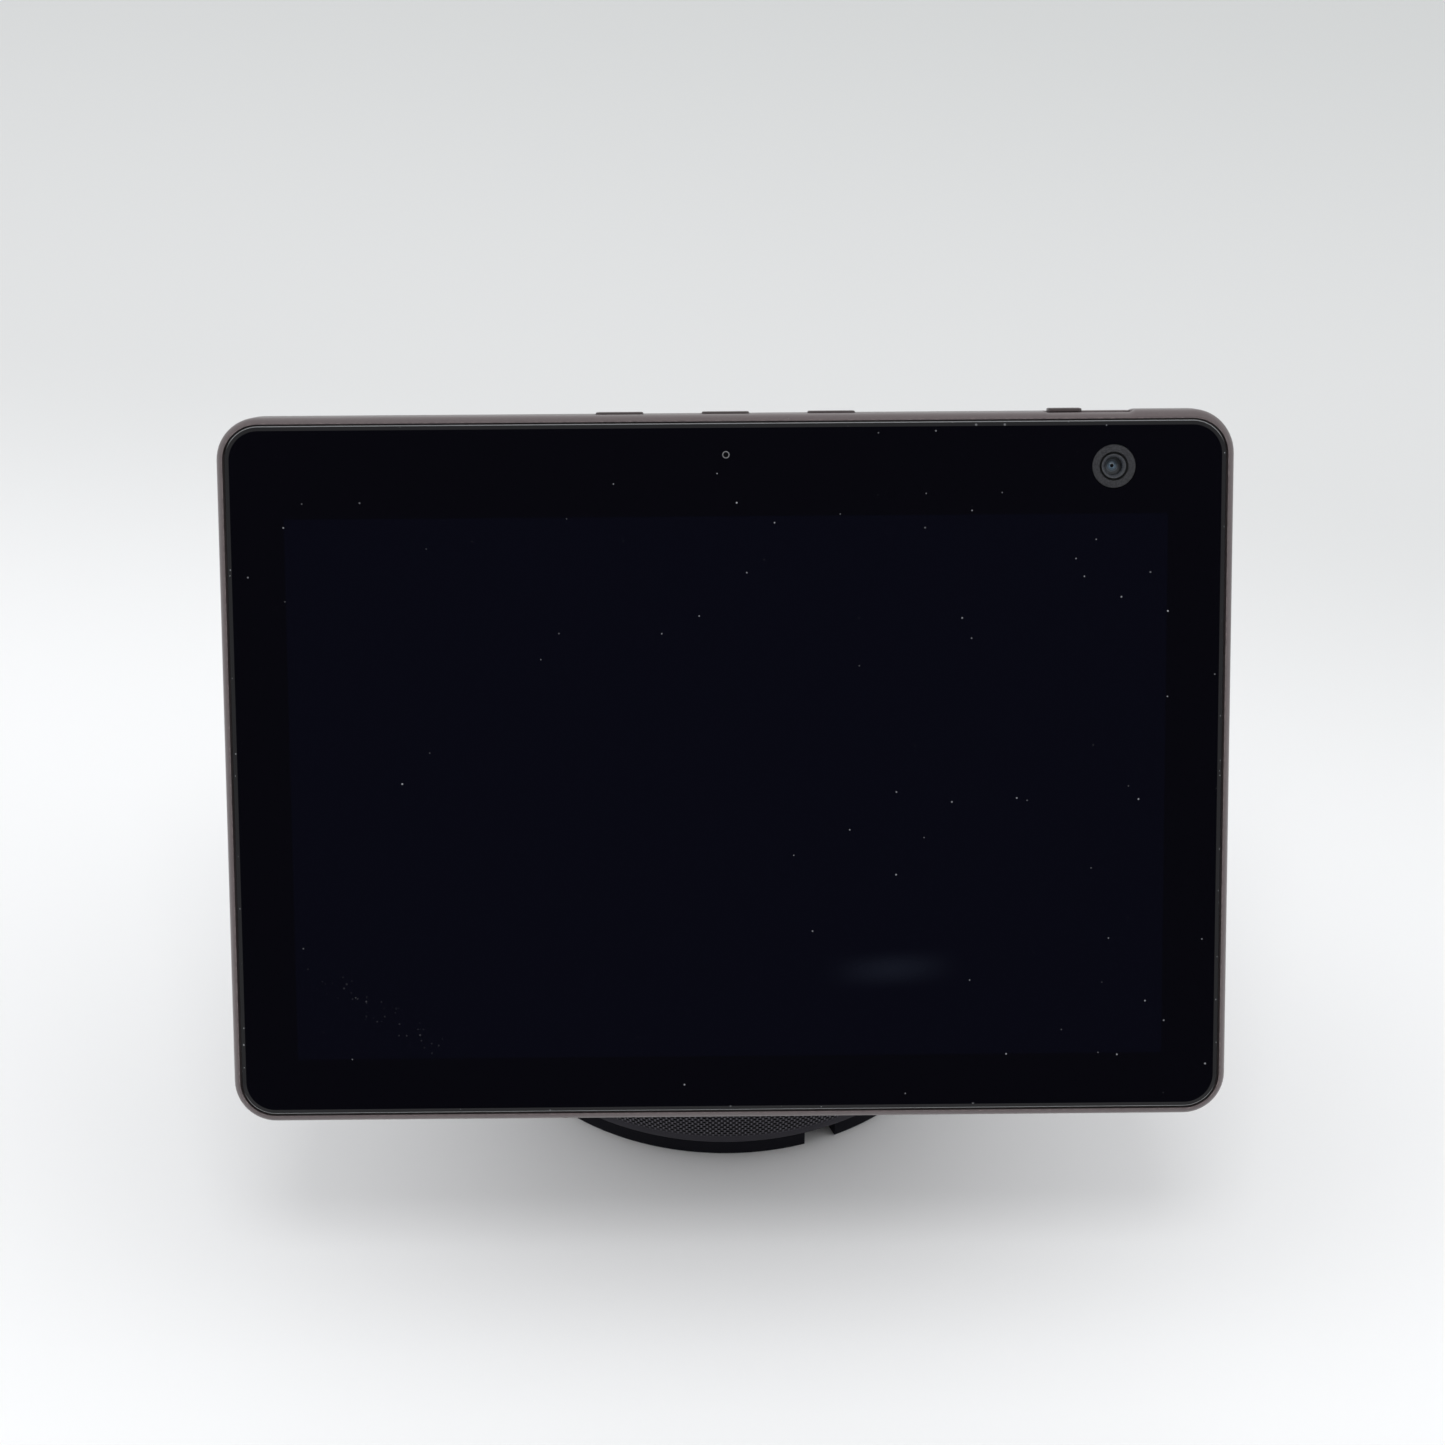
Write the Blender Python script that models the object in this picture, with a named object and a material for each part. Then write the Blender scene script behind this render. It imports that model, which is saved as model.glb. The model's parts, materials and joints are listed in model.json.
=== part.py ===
"""Motorised smart display: a tilting panel on an arm above a round fabric-covered speaker base.

Metres, +Z up. The origin is on the floor, on the axis that the arm turns about.
The panel faces -Y and leans back; the base is turned so that its cord channel shows at the front right.
"""

import math

import bmesh
import bpy
from mathutils import Matrix, Vector

MM = 0.001

# Clearances
FIT = 0.3 * MM
SLIDE_FIT = 0.4 * MM

# Pose in the picture
REST_TILT = math.radians(28.9)
BASE_TURN = math.radians(-158.0)

# Panel outside
PANEL_WIDTH = 251.0 * MM
PANEL_HEIGHT = 177.6 * MM
PANEL_DEPTH = 18.5 * MM
PANEL_CORNER = 10.5 * MM
FRAME_DEPTH = 9.5 * MM
FRAME_WALL = 2.2 * MM
FRAME_ROUND = 1.5 * MM
RIM_LIP = 1.6 * MM
BACK_ROUND = 6.0 * MM
COVER_WALL = 2.4 * MM
LEDGE_WIDTH = 3.0 * MM
LEDGE_THICK = 1.4 * MM

# Glass, screen and what is behind them
GLASS_GAP = 0.35 * MM
GLASS_THICK = 1.2 * MM
GLASS_CHAMFER = 0.7 * MM
SCREEN_SIDE = 13.5 * MM
SCREEN_BELOW = 12.9 * MM
SCREEN_CLEAR = 1.8 * MM
SCREEN_THICK = 3.0 * MM
CHASSIS_SIDE = 7.5 * MM
CHASSIS_BELOW = 7.8 * MM
CHASSIS_CLEAR = 1.9 * MM
CHASSIS_THICK = 1.2 * MM
BOARD_THICK = 1.6 * MM
MAIN_BOARD_WIDTH = 124.0 * MM
MAIN_BOARD_HEIGHT = 46.0 * MM
MAIN_BOARD_CLEAR = 8.4 * MM
CHIP_SIZE = 18.0 * MM
CHIP_THICK = 1.4 * MM
CHIP_PITCH = 40.0 * MM
SPREADER_THICK = 1.0 * MM

# Camera and light sensor
CAMERA_SIDE = 29.9 * MM
CAMERA_DROP = 13.4 * MM
CAMERA_RING = 5.35 * MM
CAMERA_OPENING = 3.45 * MM
CAMERA_SINK = 0.1 * MM
BARREL_RADIUS = 4.2 * MM
BARREL_LENGTH = 4.7 * MM
LENS_RADIUS = 2.3 * MM
LENS_DOME = 0.7 * MM
LENS_LENGTH = 2.2 * MM
CAMERA_BOARD_WIDTH = 16.0 * MM
CAMERA_BOARD_HEIGHT = 13.0 * MM
SENSOR_DROP = 9.9 * MM
SENSOR_RADIUS = 0.9 * MM

# Shutter
SHUTTER_TRAVEL = 11.6 * MM
KNOB_WIDTH = 8.7 * MM
KNOB_DEPTH = 5.1 * MM
KNOB_PROUD = 0.8 * MM
TRACK_SINK = 0.4 * MM
TRACK_FRONT_GAP = 1.0 * MM
TRACK_BACK_GAP = 0.3 * MM
TRACK_MARGIN = 0.8 * MM
STEM_WIDTH = 3.0 * MM
BLADE_WIDTH = 12.4 * MM
BLADE_HEIGHT = 13.0 * MM
BLADE_THICK = 0.6 * MM
STEM_THICK = 1.2 * MM

# Buttons
BUTTON_PITCH = 26.2 * MM
BUTTON_WIDTH = 11.8 * MM
BUTTON_DEPTH = 3.0 * MM
BUTTON_PROUD = 0.55 * MM
BUTTON_CLEAR = 0.5 * MM
BUTTON_TAB = 1.3 * MM
BUTTON_FLANGE = 0.8 * MM
BUTTON_TRAVEL = 0.5 * MM
SWITCH_WIDTH = 3.6 * MM
SWITCH_HEIGHT = 2.0 * MM
STRIP_WIDTH = 78.0 * MM
STRIP_HEIGHT = 16.0 * MM

# Tilt hinge
HINGE_CLEAR = 1.3 * MM
HINGE_DROP = 14.4 * MM
HINGE_REACH = 63.8 * MM
HINGE_RISE = 19.1 * MM
SHAFT_RADIUS = 4.0 * MM
LUG_THICK = 7.0 * MM
LUG_RADIUS = 9.0 * MM
LUG_GAP = 0.7 * MM
BRACKET_HEIGHT = 46.0 * MM
BRACKET_MARGIN = 14.0 * MM
BRACKET_THICK = 2.5 * MM
CAP_THICK = 1.7 * MM
CAP_RADIUS = 8.0 * MM
BRACKET_SCREW_UP = 16.0 * MM

# Arm between the turntable and the hinge
NECK_HALF = 32.0 * MM
NECK_BARREL = 11.2 * MM
NECK_FOOT_FRONT = 42.0 * MM
NECK_FOOT_BACK = 36.0 * MM
NECK_FOOT_EDGE = 5.0 * MM
NECK_ROUND = 3.0 * MM
NECK_WALL = 2.4 * MM
CORE_BARREL = 7.6 * MM
CORE_HALF = 23.0 * MM
CORE_SCREW_CLEAR = 3.2 * MM
CORE_FOOT_FRONT = 20.0 * MM
CORE_FOOT_BACK = 12.0 * MM
CORE_DISC = 26.5 * MM
CORE_CABLE_HOLE = 5.0 * MM
WASHER_RADIUS = 7.4 * MM
ARM_SCREW_X = 20.0 * MM
ARM_SCREW_Y = 9.0 * MM

# Base, from the floor up
FOOT_RADIUS = 70.0 * MM
FOOT_HEIGHT = 4.7 * MM
FOOT_CHAMFER = 0.8 * MM
PLATE_INSET = 1.4 * MM
PLATE_THICK = 3.5 * MM
HOUSING_HEIGHT = 80.0 * MM
HOUSING_WALL = 3.2 * MM
SLEEVE_THICK = 1.2 * MM
SLEEVE_PROUD = 1.0 * MM
SLEEVE_ROUND = 0.5 * MM
MOTOR_PLATE_THICK = 3.0 * MM
THRUST_THICK = 1.2 * MM
FLANGE_THICK = 3.0 * MM
FLANGE_RADIUS = 32.0 * MM
DECK_THICK = 3.0 * MM
DECK_GAP = 0.6 * MM
DECK_SKIRT = 3.6 * MM
TOP_RING_WIDTH = 8.0 * MM

# Cord channel, plug pocket and jack
CHANNEL_WIDTH = 9.4 * MM
POCKET_WIDTH = 18.0 * MM
POCKET_INNER = 22.4 * MM
POCKET_EDGE = 15.0 * MM
POCKET_HEIGHT = 16.5 * MM
POCKET_WALL = 2.4 * MM
JACK_WIDTH = 12.0 * MM
JACK_LENGTH = 11.0 * MM
JACK_BORE = 3.0 * MM
JACK_PIN = 1.0 * MM
JACK_DEPTH = 8.5 * MM
JACK_UP = 12.0 * MM

# Speakers
BAFFLE_SET = 14.7 * MM
BAFFLE_THICK = 3.0 * MM
WOOFER_BELOW = 2.7 * MM
WOOFER_ABOVE = 6.3 * MM
WOOFER_DEPTH = 20.0 * MM
WOOFER_RIM = 4.0 * MM
CONE_EDGE = 5.0 * MM
COIL_RADIUS = 9.0 * MM
CONE_DEPTH = 11.0 * MM
CONE_THICK = 1.2 * MM
MAGNET_STEP = 17.0 * MM
MAGNET_DEPTH = 13.0 * MM
TWEETER_RADIUS = 15.5 * MM
TWEETER_BODY = 11.0 * MM
TWEETER_DEPTH = 12.0 * MM
TWEETER_FLANGE = 2.5 * MM
TWEETER_SET = 9.4 * MM
TWEETER_UP = 46.2 * MM
TWEETER_TURN = math.radians(75.0)
POD_WALL = 2.0 * MM
POD_DEPTH = 8.0 * MM

# Power board
POWER_WIDTH = 60.0 * MM
POWER_LENGTH = 38.0 * MM
POWER_EDGE = 13.2 * MM
POST_RADIUS = 3.0 * MM
POST_INSET = 4.0 * MM
POST_CLEAR = 3.0 * MM

# Motor and swivel
SPINDLE_RADIUS = 11.5 * MM
SPINDLE_BORE = 7.0 * MM
BUSH_WALL = 2.5 * MM
HUB_WALL = 3.4 * MM
HUB_LENGTH = 12.0 * MM
STATOR_RADIUS = 24.0 * MM
STATOR_HEIGHT = 9.0 * MM
STATOR_SLOTS = 9
SLOT_WIDTH = 3.4 * MM
AIR_GAP = 0.6 * MM
ROTOR_MAGNET = 2.2 * MM
BELL_WALL = 1.9 * MM
BELL_FLOOR = 2.4 * MM
BELL_CLEAR = 1.6 * MM
NUT_HEIGHT = 3.6 * MM
NUT_RADIUS = 17.0 * MM
STOP_CIRCLE = 45.0 * MM
STOP_PIN = 1.7 * MM
STOP_LUG = 3.6 * MM

# Screws
SCREW_RADIUS = 1.5 * MM
HEAD_RADIUS = 2.8 * MM
HEAD_HEIGHT = 1.8 * MM
BASE_SCREW_LENGTH = 14.0 * MM
BASE_SCREW_TURN = math.radians(32.0)
BOSS_RADIUS = 5.0 * MM
BOSS_HEIGHT = 16.0 * MM
BOSS_SINK = 1.0 * MM
ARM_SCREW_LENGTH = 6.0 * MM

# Roundness of turned and bored shapes
LARGE_STEPS = 48
MIDDLE_STEPS = 28
SMALL_STEPS = 12
CORNER_STEPS = 5
SHARP_ANGLE = math.radians(35.0)

# Levels that follow from the sizes above
PLATE_Z = FOOT_HEIGHT + FIT
PLATE_TOP = PLATE_Z + PLATE_THICK
HOUSING_Z = PLATE_TOP + FIT
HOUSING_TOP = HOUSING_Z + HOUSING_HEIGHT
MOTOR_PLATE_Z = HOUSING_TOP + FIT
MOTOR_PLATE_TOP = MOTOR_PLATE_Z + MOTOR_PLATE_THICK
THRUST_Z = MOTOR_PLATE_TOP + FIT
FLANGE_Z = THRUST_Z + THRUST_THICK + FIT
DECK_Z = FLANGE_Z + FLANGE_THICK + FIT
DECK_TOP = DECK_Z + DECK_THICK
HINGE_Z = DECK_TOP + HINGE_RISE
HINGE_BACK = PANEL_DEPTH + HINGE_CLEAR + NECK_BARREL
CORE_FOOT_HALF = ARM_SCREW_X - HEAD_RADIUS - CORE_SCREW_CLEAR
CORE_DISC_TOP = DECK_TOP + FIT
SLEEVE_RADIUS = FOOT_RADIUS + SLEEVE_PROUD
HOUSING_RADIUS = SLEEVE_RADIUS - SLEEVE_THICK - SLIDE_FIT
HOUSING_INNER = HOUSING_RADIUS - HOUSING_WALL
BOSS_CIRCLE = HOUSING_INNER - BOSS_RADIUS + BOSS_SINK
BAFFLE_FRONT = HOUSING_INNER - BAFFLE_SET
WOOFER_RADIUS = (HOUSING_HEIGHT - WOOFER_BELOW - WOOFER_ABOVE) / 2
WOOFER_UP = WOOFER_BELOW + WOOFER_RADIUS
WOOFER_HOLE = WOOFER_RADIUS - WOOFER_RIM
CONE_RADIUS = WOOFER_HOLE - CONE_EDGE
MAGNET_RADIUS = WOOFER_RADIUS - MAGNET_STEP
TWEETER_OUT = HOUSING_RADIUS - TWEETER_SET
POD_INNER = TWEETER_OUT - POD_DEPTH
TOP_RING_INNER = SLEEVE_RADIUS - TOP_RING_WIDTH
DECK_RADIUS = TOP_RING_INNER - DECK_GAP
POCKET_OUTER = FOOT_RADIUS - POCKET_EDGE
POCKET_TOP = PLATE_Z + POCKET_HEIGHT
POWER_Z = POCKET_TOP + POCKET_WALL + POST_CLEAR
POWER_NEAR = HOUSING_INNER - POWER_EDGE - POWER_LENGTH
BUSH_INNER = SPINDLE_RADIUS + FIT
BUSH_OUTER = BUSH_INNER + BUSH_WALL
HUB_INNER = BUSH_OUTER + FIT
HUB_OUTER = HUB_INNER + HUB_WALL
HUB_Z = MOTOR_PLATE_Z - HUB_LENGTH
ROTOR_INNER = STATOR_RADIUS + AIR_GAP
ROTOR_OUTER = ROTOR_INNER + ROTOR_MAGNET
BELL_INNER = ROTOR_OUTER + FIT
BELL_OUTER = BELL_INNER + BELL_WALL
BELL_TOP = HUB_Z - BELL_CLEAR
BELL_Z = BELL_TOP - BELL_FLOOR
NUT_TOP = BELL_Z - FIT
NUT_Z = NUT_TOP - NUT_HEIGHT
STATOR_Z = HUB_Z + FIT

# Depths behind the glass, and heights from the panel centre
LEDGE_Y = GLASS_THICK + FIT
LEDGE_BACK = LEDGE_Y + LEDGE_THICK
SCREEN_Y = GLASS_THICK + FIT
CHASSIS_Y = SCREEN_Y + SCREEN_THICK + FIT
CHASSIS_BACK = CHASSIS_Y + CHASSIS_THICK
MAIN_BOARD_Y = CHASSIS_BACK + FIT
MAIN_BOARD_BACK = MAIN_BOARD_Y + BOARD_THICK
CHIP_BACK = MAIN_BOARD_BACK + CHIP_THICK
SPREADER_Y = CHIP_BACK + FIT
COVER_Y = FRAME_DEPTH + FIT
PANEL_TOP = PANEL_HEIGHT / 2
WALL_UNDER = PANEL_TOP - FRAME_WALL
CAMERA_X = PANEL_WIDTH / 2 - CAMERA_SIDE
CAMERA_UP = PANEL_TOP - CAMERA_DROP
SENSOR_UP = PANEL_TOP - SENSOR_DROP
BLADE_BOTTOM = CAMERA_UP - BLADE_HEIGHT / 2
SCREEN_WIDTH = PANEL_WIDTH - 2 * SCREEN_SIDE
SCREEN_TOP = BLADE_BOTTOM - SCREEN_CLEAR
SCREEN_BOTTOM = SCREEN_BELOW - PANEL_TOP
CHASSIS_WIDTH = PANEL_WIDTH - 2 * CHASSIS_SIDE
CHASSIS_TOP = BLADE_BOTTOM - CHASSIS_CLEAR
CHASSIS_BOTTOM = CHASSIS_BELOW - PANEL_TOP
GLASS_INSET = RIM_LIP + GLASS_GAP
GLASS_WIDTH = PANEL_WIDTH - 2 * GLASS_INSET
GLASS_HEIGHT = PANEL_HEIGHT - 2 * GLASS_INSET
GLASS_CORNER = PANEL_CORNER - GLASS_INSET
BLADE_Y = LEDGE_BACK + SLIDE_FIT
KNOB_FRONT = BLADE_Y - SLIDE_FIT
KNOB_BACK = KNOB_FRONT + KNOB_DEPTH
TRACK_FRONT = KNOB_FRONT - TRACK_FRONT_GAP
TRACK_BACK = KNOB_BACK + TRACK_BACK_GAP
BARREL_Y = BLADE_Y + BLADE_THICK + SLIDE_FIT
CAMERA_BOARD_Y = BARREL_Y + BARREL_LENGTH + FIT
STRIP_Y = LEDGE_BACK + FIT
STRIP_BACK = STRIP_Y + CHASSIS_THICK
BUTTON_BACK = STRIP_BACK + BUTTON_CLEAR + BUTTON_DEPTH / 2
BUTTON_FLANGE_TOP = WALL_UNDER - FIT
SWITCH_TOP = BUTTON_FLANGE_TOP - BUTTON_FLANGE - BUTTON_TRAVEL - FIT
KNOB_X = CAMERA_X - SHUTTER_TRAVEL
TRACK_FLOOR = PANEL_TOP - TRACK_SINK
KNOB_UNDER = TRACK_FLOOR + FIT
BRACKET_Y = CHASSIS_BACK + FIT
BRACKET_BACK = BRACKET_Y + BRACKET_THICK
BRACKET_TOP = BRACKET_HEIGHT / 2 - HINGE_DROP
MAIN_BOARD_UP = BRACKET_TOP + MAIN_BOARD_CLEAR + MAIN_BOARD_HEIGHT / 2
LUG_INNER = NECK_HALF + LUG_GAP
LUG_OUTER = LUG_INNER + LUG_THICK
CAP_INNER = LUG_OUTER + FIT

# Finishes: colour, roughness and metallic
CHARCOAL = ((0.105, 0.100, 0.101), 0.48, 0.0)
CHARCOAL_SATIN = ((0.085, 0.078, 0.080), 0.42, 0.0)
BLACK_GLASS = ((0.004, 0.0045, 0.006), 0.05, 0.0)
BLACK_PLASTIC = ((0.012, 0.012, 0.013), 0.55, 0.0)
KNIT = ((0.035, 0.036, 0.038), 0.95, 0.0)
RUBBER = ((0.010, 0.010, 0.011), 0.80, 0.0)
STEEL = ((0.52, 0.52, 0.53), 0.35, 1.0)
ALUMINIUM = ((0.62, 0.63, 0.64), 0.40, 1.0)
BOARD_GREEN = ((0.010, 0.075, 0.035), 0.50, 0.0)
COIL_IRON = ((0.20, 0.17, 0.15), 0.55, 1.0)
MAGNET_GREY = ((0.06, 0.06, 0.065), 0.50, 0.6)
PAPER_CONE = ((0.025, 0.025, 0.027), 0.85, 0.0)
POLYMER = ((0.70, 0.69, 0.66), 0.55, 0.0)
LENS_GLASS = ((0.010, 0.016, 0.026), 0.03, 0.0)
SCREEN_DARK = ((0.006, 0.0065, 0.009), 0.25, 0.0)
RING_GREY = ((0.045, 0.046, 0.048), 0.35, 0.0)


def clear_scene():
    for old in list(bpy.data.objects):
        bpy.data.objects.remove(old, do_unlink=True)


def add_collection(name):
    made = bpy.data.collections.new(name)
    bpy.context.scene.collection.children.link(made)
    return made


def block(x0, x1, y0, y1, z0, z1):
    """A box between two corners."""
    bm = bmesh.new()
    bmesh.ops.create_cube(bm, size=1.0)
    bmesh.ops.scale(bm, vec=(x1 - x0, y1 - y0, z1 - z0), verts=bm.verts)
    bmesh.ops.translate(bm, vec=((x0 + x1) / 2, (y0 + y1) / 2, (z0 + z1) / 2), verts=bm.verts)
    return bm


def rod(axis, radius, start, end, at=(0.0, 0.0), steps=SMALL_STEPS):
    """A cylinder along X, Y or Z; at gives its other two coordinates in order."""
    bm = bmesh.new()
    bmesh.ops.create_cone(
        bm, cap_ends=True, segments=steps, radius1=radius, radius2=radius, depth=end - start
    )
    middle = (start + end) / 2
    if axis == "X":
        turn, place = Matrix.Rotation(math.pi / 2, 3, "Y"), (middle, at[0], at[1])
    elif axis == "Y":
        turn, place = Matrix.Rotation(math.pi / 2, 3, "X"), (at[0], middle, at[1])
    else:
        turn, place = Matrix.Identity(3), (at[0], at[1], middle)
    bmesh.ops.rotate(bm, cent=(0.0, 0.0, 0.0), matrix=turn, verts=bm.verts)
    bmesh.ops.translate(bm, vec=place, verts=bm.verts)
    return bm


def lathe(profile, steps):
    """A closed profile of (radius, height) points turned about Z."""
    bm = bmesh.new()
    points = [bm.verts.new((r, 0.0, z)) for r, z in profile]
    pairs = zip(points, points[1:] + points[:1])
    edges = [bm.edges.new(pair) for pair in pairs if max(pair[0].co.x, pair[1].co.x) > 0.0]
    bmesh.ops.spin(
        bm, geom=points + edges, cent=(0.0, 0.0, 0.0), axis=(0.0, 0.0, 1.0),
        angle=2 * math.pi, steps=steps, use_merge=True,
    )
    bmesh.ops.remove_doubles(bm, verts=bm.verts, dist=0.001 * MM)
    return bm


def tube(inner, outer, z0, z1, steps=MIDDLE_STEPS):
    return lathe([(outer, z1), (outer, z0), (inner, z0), (inner, z1)], steps)


def faces_back(bm, turn):
    """Turns a shape built along Z so that it runs along +Y, then about the vertical."""
    bmesh.ops.rotate(bm, cent=(0.0, 0.0, 0.0), matrix=Matrix.Rotation(-math.pi / 2, 3, "X"), verts=bm.verts)
    bmesh.ops.rotate(bm, cent=(0.0, 0.0, 0.0), matrix=Matrix.Rotation(turn, 3, "Z"), verts=bm.verts)
    return bm


def moved(bm, x, y, z):
    bmesh.ops.translate(bm, vec=(x, y, z), verts=bm.verts)
    return bm


def round_edges(bm, edges, radius, steps):
    bmesh.ops.bevel(
        bm, geom=edges, offset=radius, offset_type="OFFSET", segments=steps, profile=0.5,
        affect="EDGES", clamp_overlap=True,
    )


def slab(width, height, y0, y1, corner, front=0.0, back=0.0, up=0.0, steps=2):
    """A rounded rectangle standing in XZ, between two depths, with its front or back edge rounded."""
    bm = block(-width / 2, width / 2, y0, y1, up - height / 2, up + height / 2)
    long_edges = [e for e in bm.edges if abs(e.verts[0].co.y - e.verts[1].co.y) > (y1 - y0) / 2]
    round_edges(bm, long_edges, corner, CORNER_STEPS)
    for depth, radius in ((y0, front), (y1, back)):
        if radius > 0.0:
            rim = [e for e in bm.edges if all(abs(v.co.y - depth) < 0.01 * MM for v in e.verts)]
            round_edges(bm, rim, radius, steps)
    return bm


def hull(*shapes):
    """The tight skin round several shapes."""
    bm = bmesh.new()
    for shape in shapes:
        for vert in shape.verts:
            bm.verts.new(vert.co)
        shape.free()
    bmesh.ops.remove_doubles(bm, verts=bm.verts, dist=0.001 * MM)
    bmesh.ops.convex_hull(bm, input=bm.verts)
    bmesh.ops.delete(bm, geom=[v for v in bm.verts if not v.link_faces], context="VERTS")
    return bm


def round_sharp(bm, radius, above):
    """Rounds the sharp edges of a skin, apart from those round its foot."""
    bmesh.ops.dissolve_limit(bm, angle_limit=math.radians(1.0), verts=bm.verts, edges=bm.edges)
    sharp = [e for e in bm.edges if e.calc_face_angle(0.0) > math.radians(30.0)]
    raised = [e for e in sharp if max(v.co.z for v in e.verts) > above]
    round_edges(bm, raised, radius, 3)


def mesh_of(name, bm):
    bmesh.ops.recalc_face_normals(bm, faces=bm.faces)
    mesh = bpy.data.meshes.new(name)
    bm.to_mesh(mesh)
    bm.free()
    mesh.shade_smooth()
    mesh.set_sharp_from_angle(angle=SHARP_ANGLE)
    return mesh


def part(name, bm, finish, parent):
    """One physical piece with its own finish, placed in its parent's axes."""
    obj = bpy.data.objects.new(name, mesh_of(name, bm))
    PARTS.objects.link(obj)
    obj.parent = parent
    colour, roughness, metallic = finish
    material = bpy.data.materials.new(name)
    material.use_nodes = True
    shader = material.node_tree.nodes["Principled BSDF"]
    shader.inputs["Base Color"].default_value = (*colour, 1.0)
    shader.inputs["Roughness"].default_value = roughness
    shader.inputs["Metallic"].default_value = metallic
    obj.data.materials.append(material)
    return obj


def work(target, bm, operation):
    """A hidden tool shape in the target's axes, and the Boolean that uses it."""
    helper = bpy.data.objects.new(f"{target.name}_tool", mesh_of("tool", bm))
    CUTTERS.objects.link(helper)
    helper.parent = target
    helper.hide_render = True
    helper.display_type = "WIRE"
    boolean = target.modifiers.new(operation.lower(), "BOOLEAN")
    boolean.operation = operation
    boolean.solver = "EXACT"
    boolean.object = helper


def cut(target, *shapes):
    for bm in shapes:
        work(target, bm, "DIFFERENCE")


def join(target, *shapes):
    for bm in shapes:
        work(target, bm, "UNION")


def empty(name, parent, place=(0.0, 0.0, 0.0), turn=(0.0, 0.0, 0.0)):
    obj = bpy.data.objects.new(name, None)
    PARTS.objects.link(obj)
    obj.parent = parent
    obj.location = place
    obj.rotation_euler = turn
    return obj


def screw_shape(length, head_down):
    """A pan-head screw on the Z axis, its seat at zero and its head below or above."""
    way = -1.0 if head_down else 1.0
    head, tip = way * HEAD_HEIGHT, -way * length
    profile = [(0.0, head), (HEAD_RADIUS, head), (HEAD_RADIUS, 0.0), (SCREW_RADIUS, 0.0),
               (SCREW_RADIUS, tip), (0.0, tip)]
    return lathe(profile, SMALL_STEPS)


def base_screw_places():
    out, side = BOSS_CIRCLE * math.cos(BASE_SCREW_TURN), BOSS_CIRCLE * math.sin(BASE_SCREW_TURN)
    for index, (x, y) in enumerate(((out, side), (-out, side), (-out, -side), (out, -side))):
        yield index + 1, x, y


def build_foot(base):
    under = FOOT_RADIUS - FOOT_CHAMFER
    profile = [(0.0, FOOT_HEIGHT), (FOOT_RADIUS, FOOT_HEIGHT), (FOOT_RADIUS, FOOT_CHAMFER),
               (under, 0.0), (0.0, 0.0)]
    foot = part("foot_pad", lathe(profile, LARGE_STEPS), RUBBER, base)
    half = POCKET_WIDTH / 2
    cut(foot, block(-half, half, POCKET_INNER, POCKET_OUTER, -FOOT_HEIGHT, 2 * FOOT_HEIGHT))
    side = CHANNEL_WIDTH / 2
    past = FOOT_RADIUS + FOOT_HEIGHT
    cut(foot, block(-side, side, POCKET_OUTER - FOOT_HEIGHT, past, -FOOT_HEIGHT, 2 * FOOT_HEIGHT))


def build_base_plate(base):
    radius = FOOT_RADIUS - PLATE_INSET
    profile = [(0.0, PLATE_TOP), (radius, PLATE_TOP), (radius, PLATE_Z), (0.0, PLATE_Z)]
    plate = part("base_plate", lathe(profile, LARGE_STEPS), BLACK_PLASTIC, base)
    half = POCKET_WIDTH / 2
    outside = half + POCKET_WALL
    inner, outer = POCKET_INNER - POCKET_WALL, POCKET_OUTER + POCKET_WALL
    join(plate, block(-outside, outside, inner, outer, PLATE_Z + FIT, POCKET_TOP + POCKET_WALL))
    for x, y in power_post_places():
        join(plate, rod("Z", POST_RADIUS, PLATE_Z + FIT, POWER_Z - FIT, (x, y), SMALL_STEPS))
    cut(plate, block(-half, half, POCKET_INNER, POCKET_OUTER, 0.0, POCKET_TOP))
    seat = PLATE_Z + HEAD_HEIGHT + FIT
    for _, x, y in base_screw_places():
        cut(plate, rod("Z", SCREW_RADIUS + FIT, 0.0, HOUSING_Z, (x, y)))
        cut(plate, rod("Z", HEAD_RADIUS + FIT, 0.0, seat, (x, y)))


def build_base_screws(base):
    seat = PLATE_Z + HEAD_HEIGHT
    for index, x, y in base_screw_places():
        screw = part(f"base_screw_{index}", screw_shape(BASE_SCREW_LENGTH, True), STEEL, base)
        screw.location = (x, y, seat)


def power_post_places():
    for x in (-1.0, 1.0):
        for y in (POWER_NEAR + POST_INSET, POWER_NEAR + POWER_LENGTH - POST_INSET):
            yield x * (POWER_WIDTH / 2 - POST_INSET), y


def build_power(base):
    jack_y = POCKET_INNER + FIT
    half = JACK_WIDTH / 2
    up = PLATE_Z + JACK_UP
    jack = part(
        "power_jack",
        block(-half, half, jack_y, jack_y + JACK_LENGTH, up - half, POCKET_TOP - FIT),
        BLACK_PLASTIC, base,
    )
    mouth = jack_y + JACK_LENGTH
    cut(jack, rod("Y", JACK_BORE, mouth - JACK_DEPTH, mouth + JACK_DEPTH, (0.0, up)))
    join(jack, rod("Y", JACK_PIN, mouth - JACK_DEPTH - FIT, mouth - FIT, (0.0, up)))
    side = POWER_WIDTH / 2
    top = POWER_Z + BOARD_THICK
    board = part(
        "power_board",
        block(-side, side, POWER_NEAR, POWER_NEAR + POWER_LENGTH, POWER_Z, top),
        BOARD_GREEN, base,
    )
    middle = POWER_NEAR + POWER_LENGTH / 2
    reach = POWER_LENGTH / 4
    bury = BOARD_THICK / 2
    join(board, block(-side / 2 - reach, -side / 2 + reach, middle - reach, middle + reach,
                      top - bury, top + POWER_LENGTH / 3))
    for y in (middle - reach, middle + reach):
        join(board, rod("Z", reach / 2, top - bury, top + POWER_LENGTH / 2, (side / 2, y)))


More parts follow.
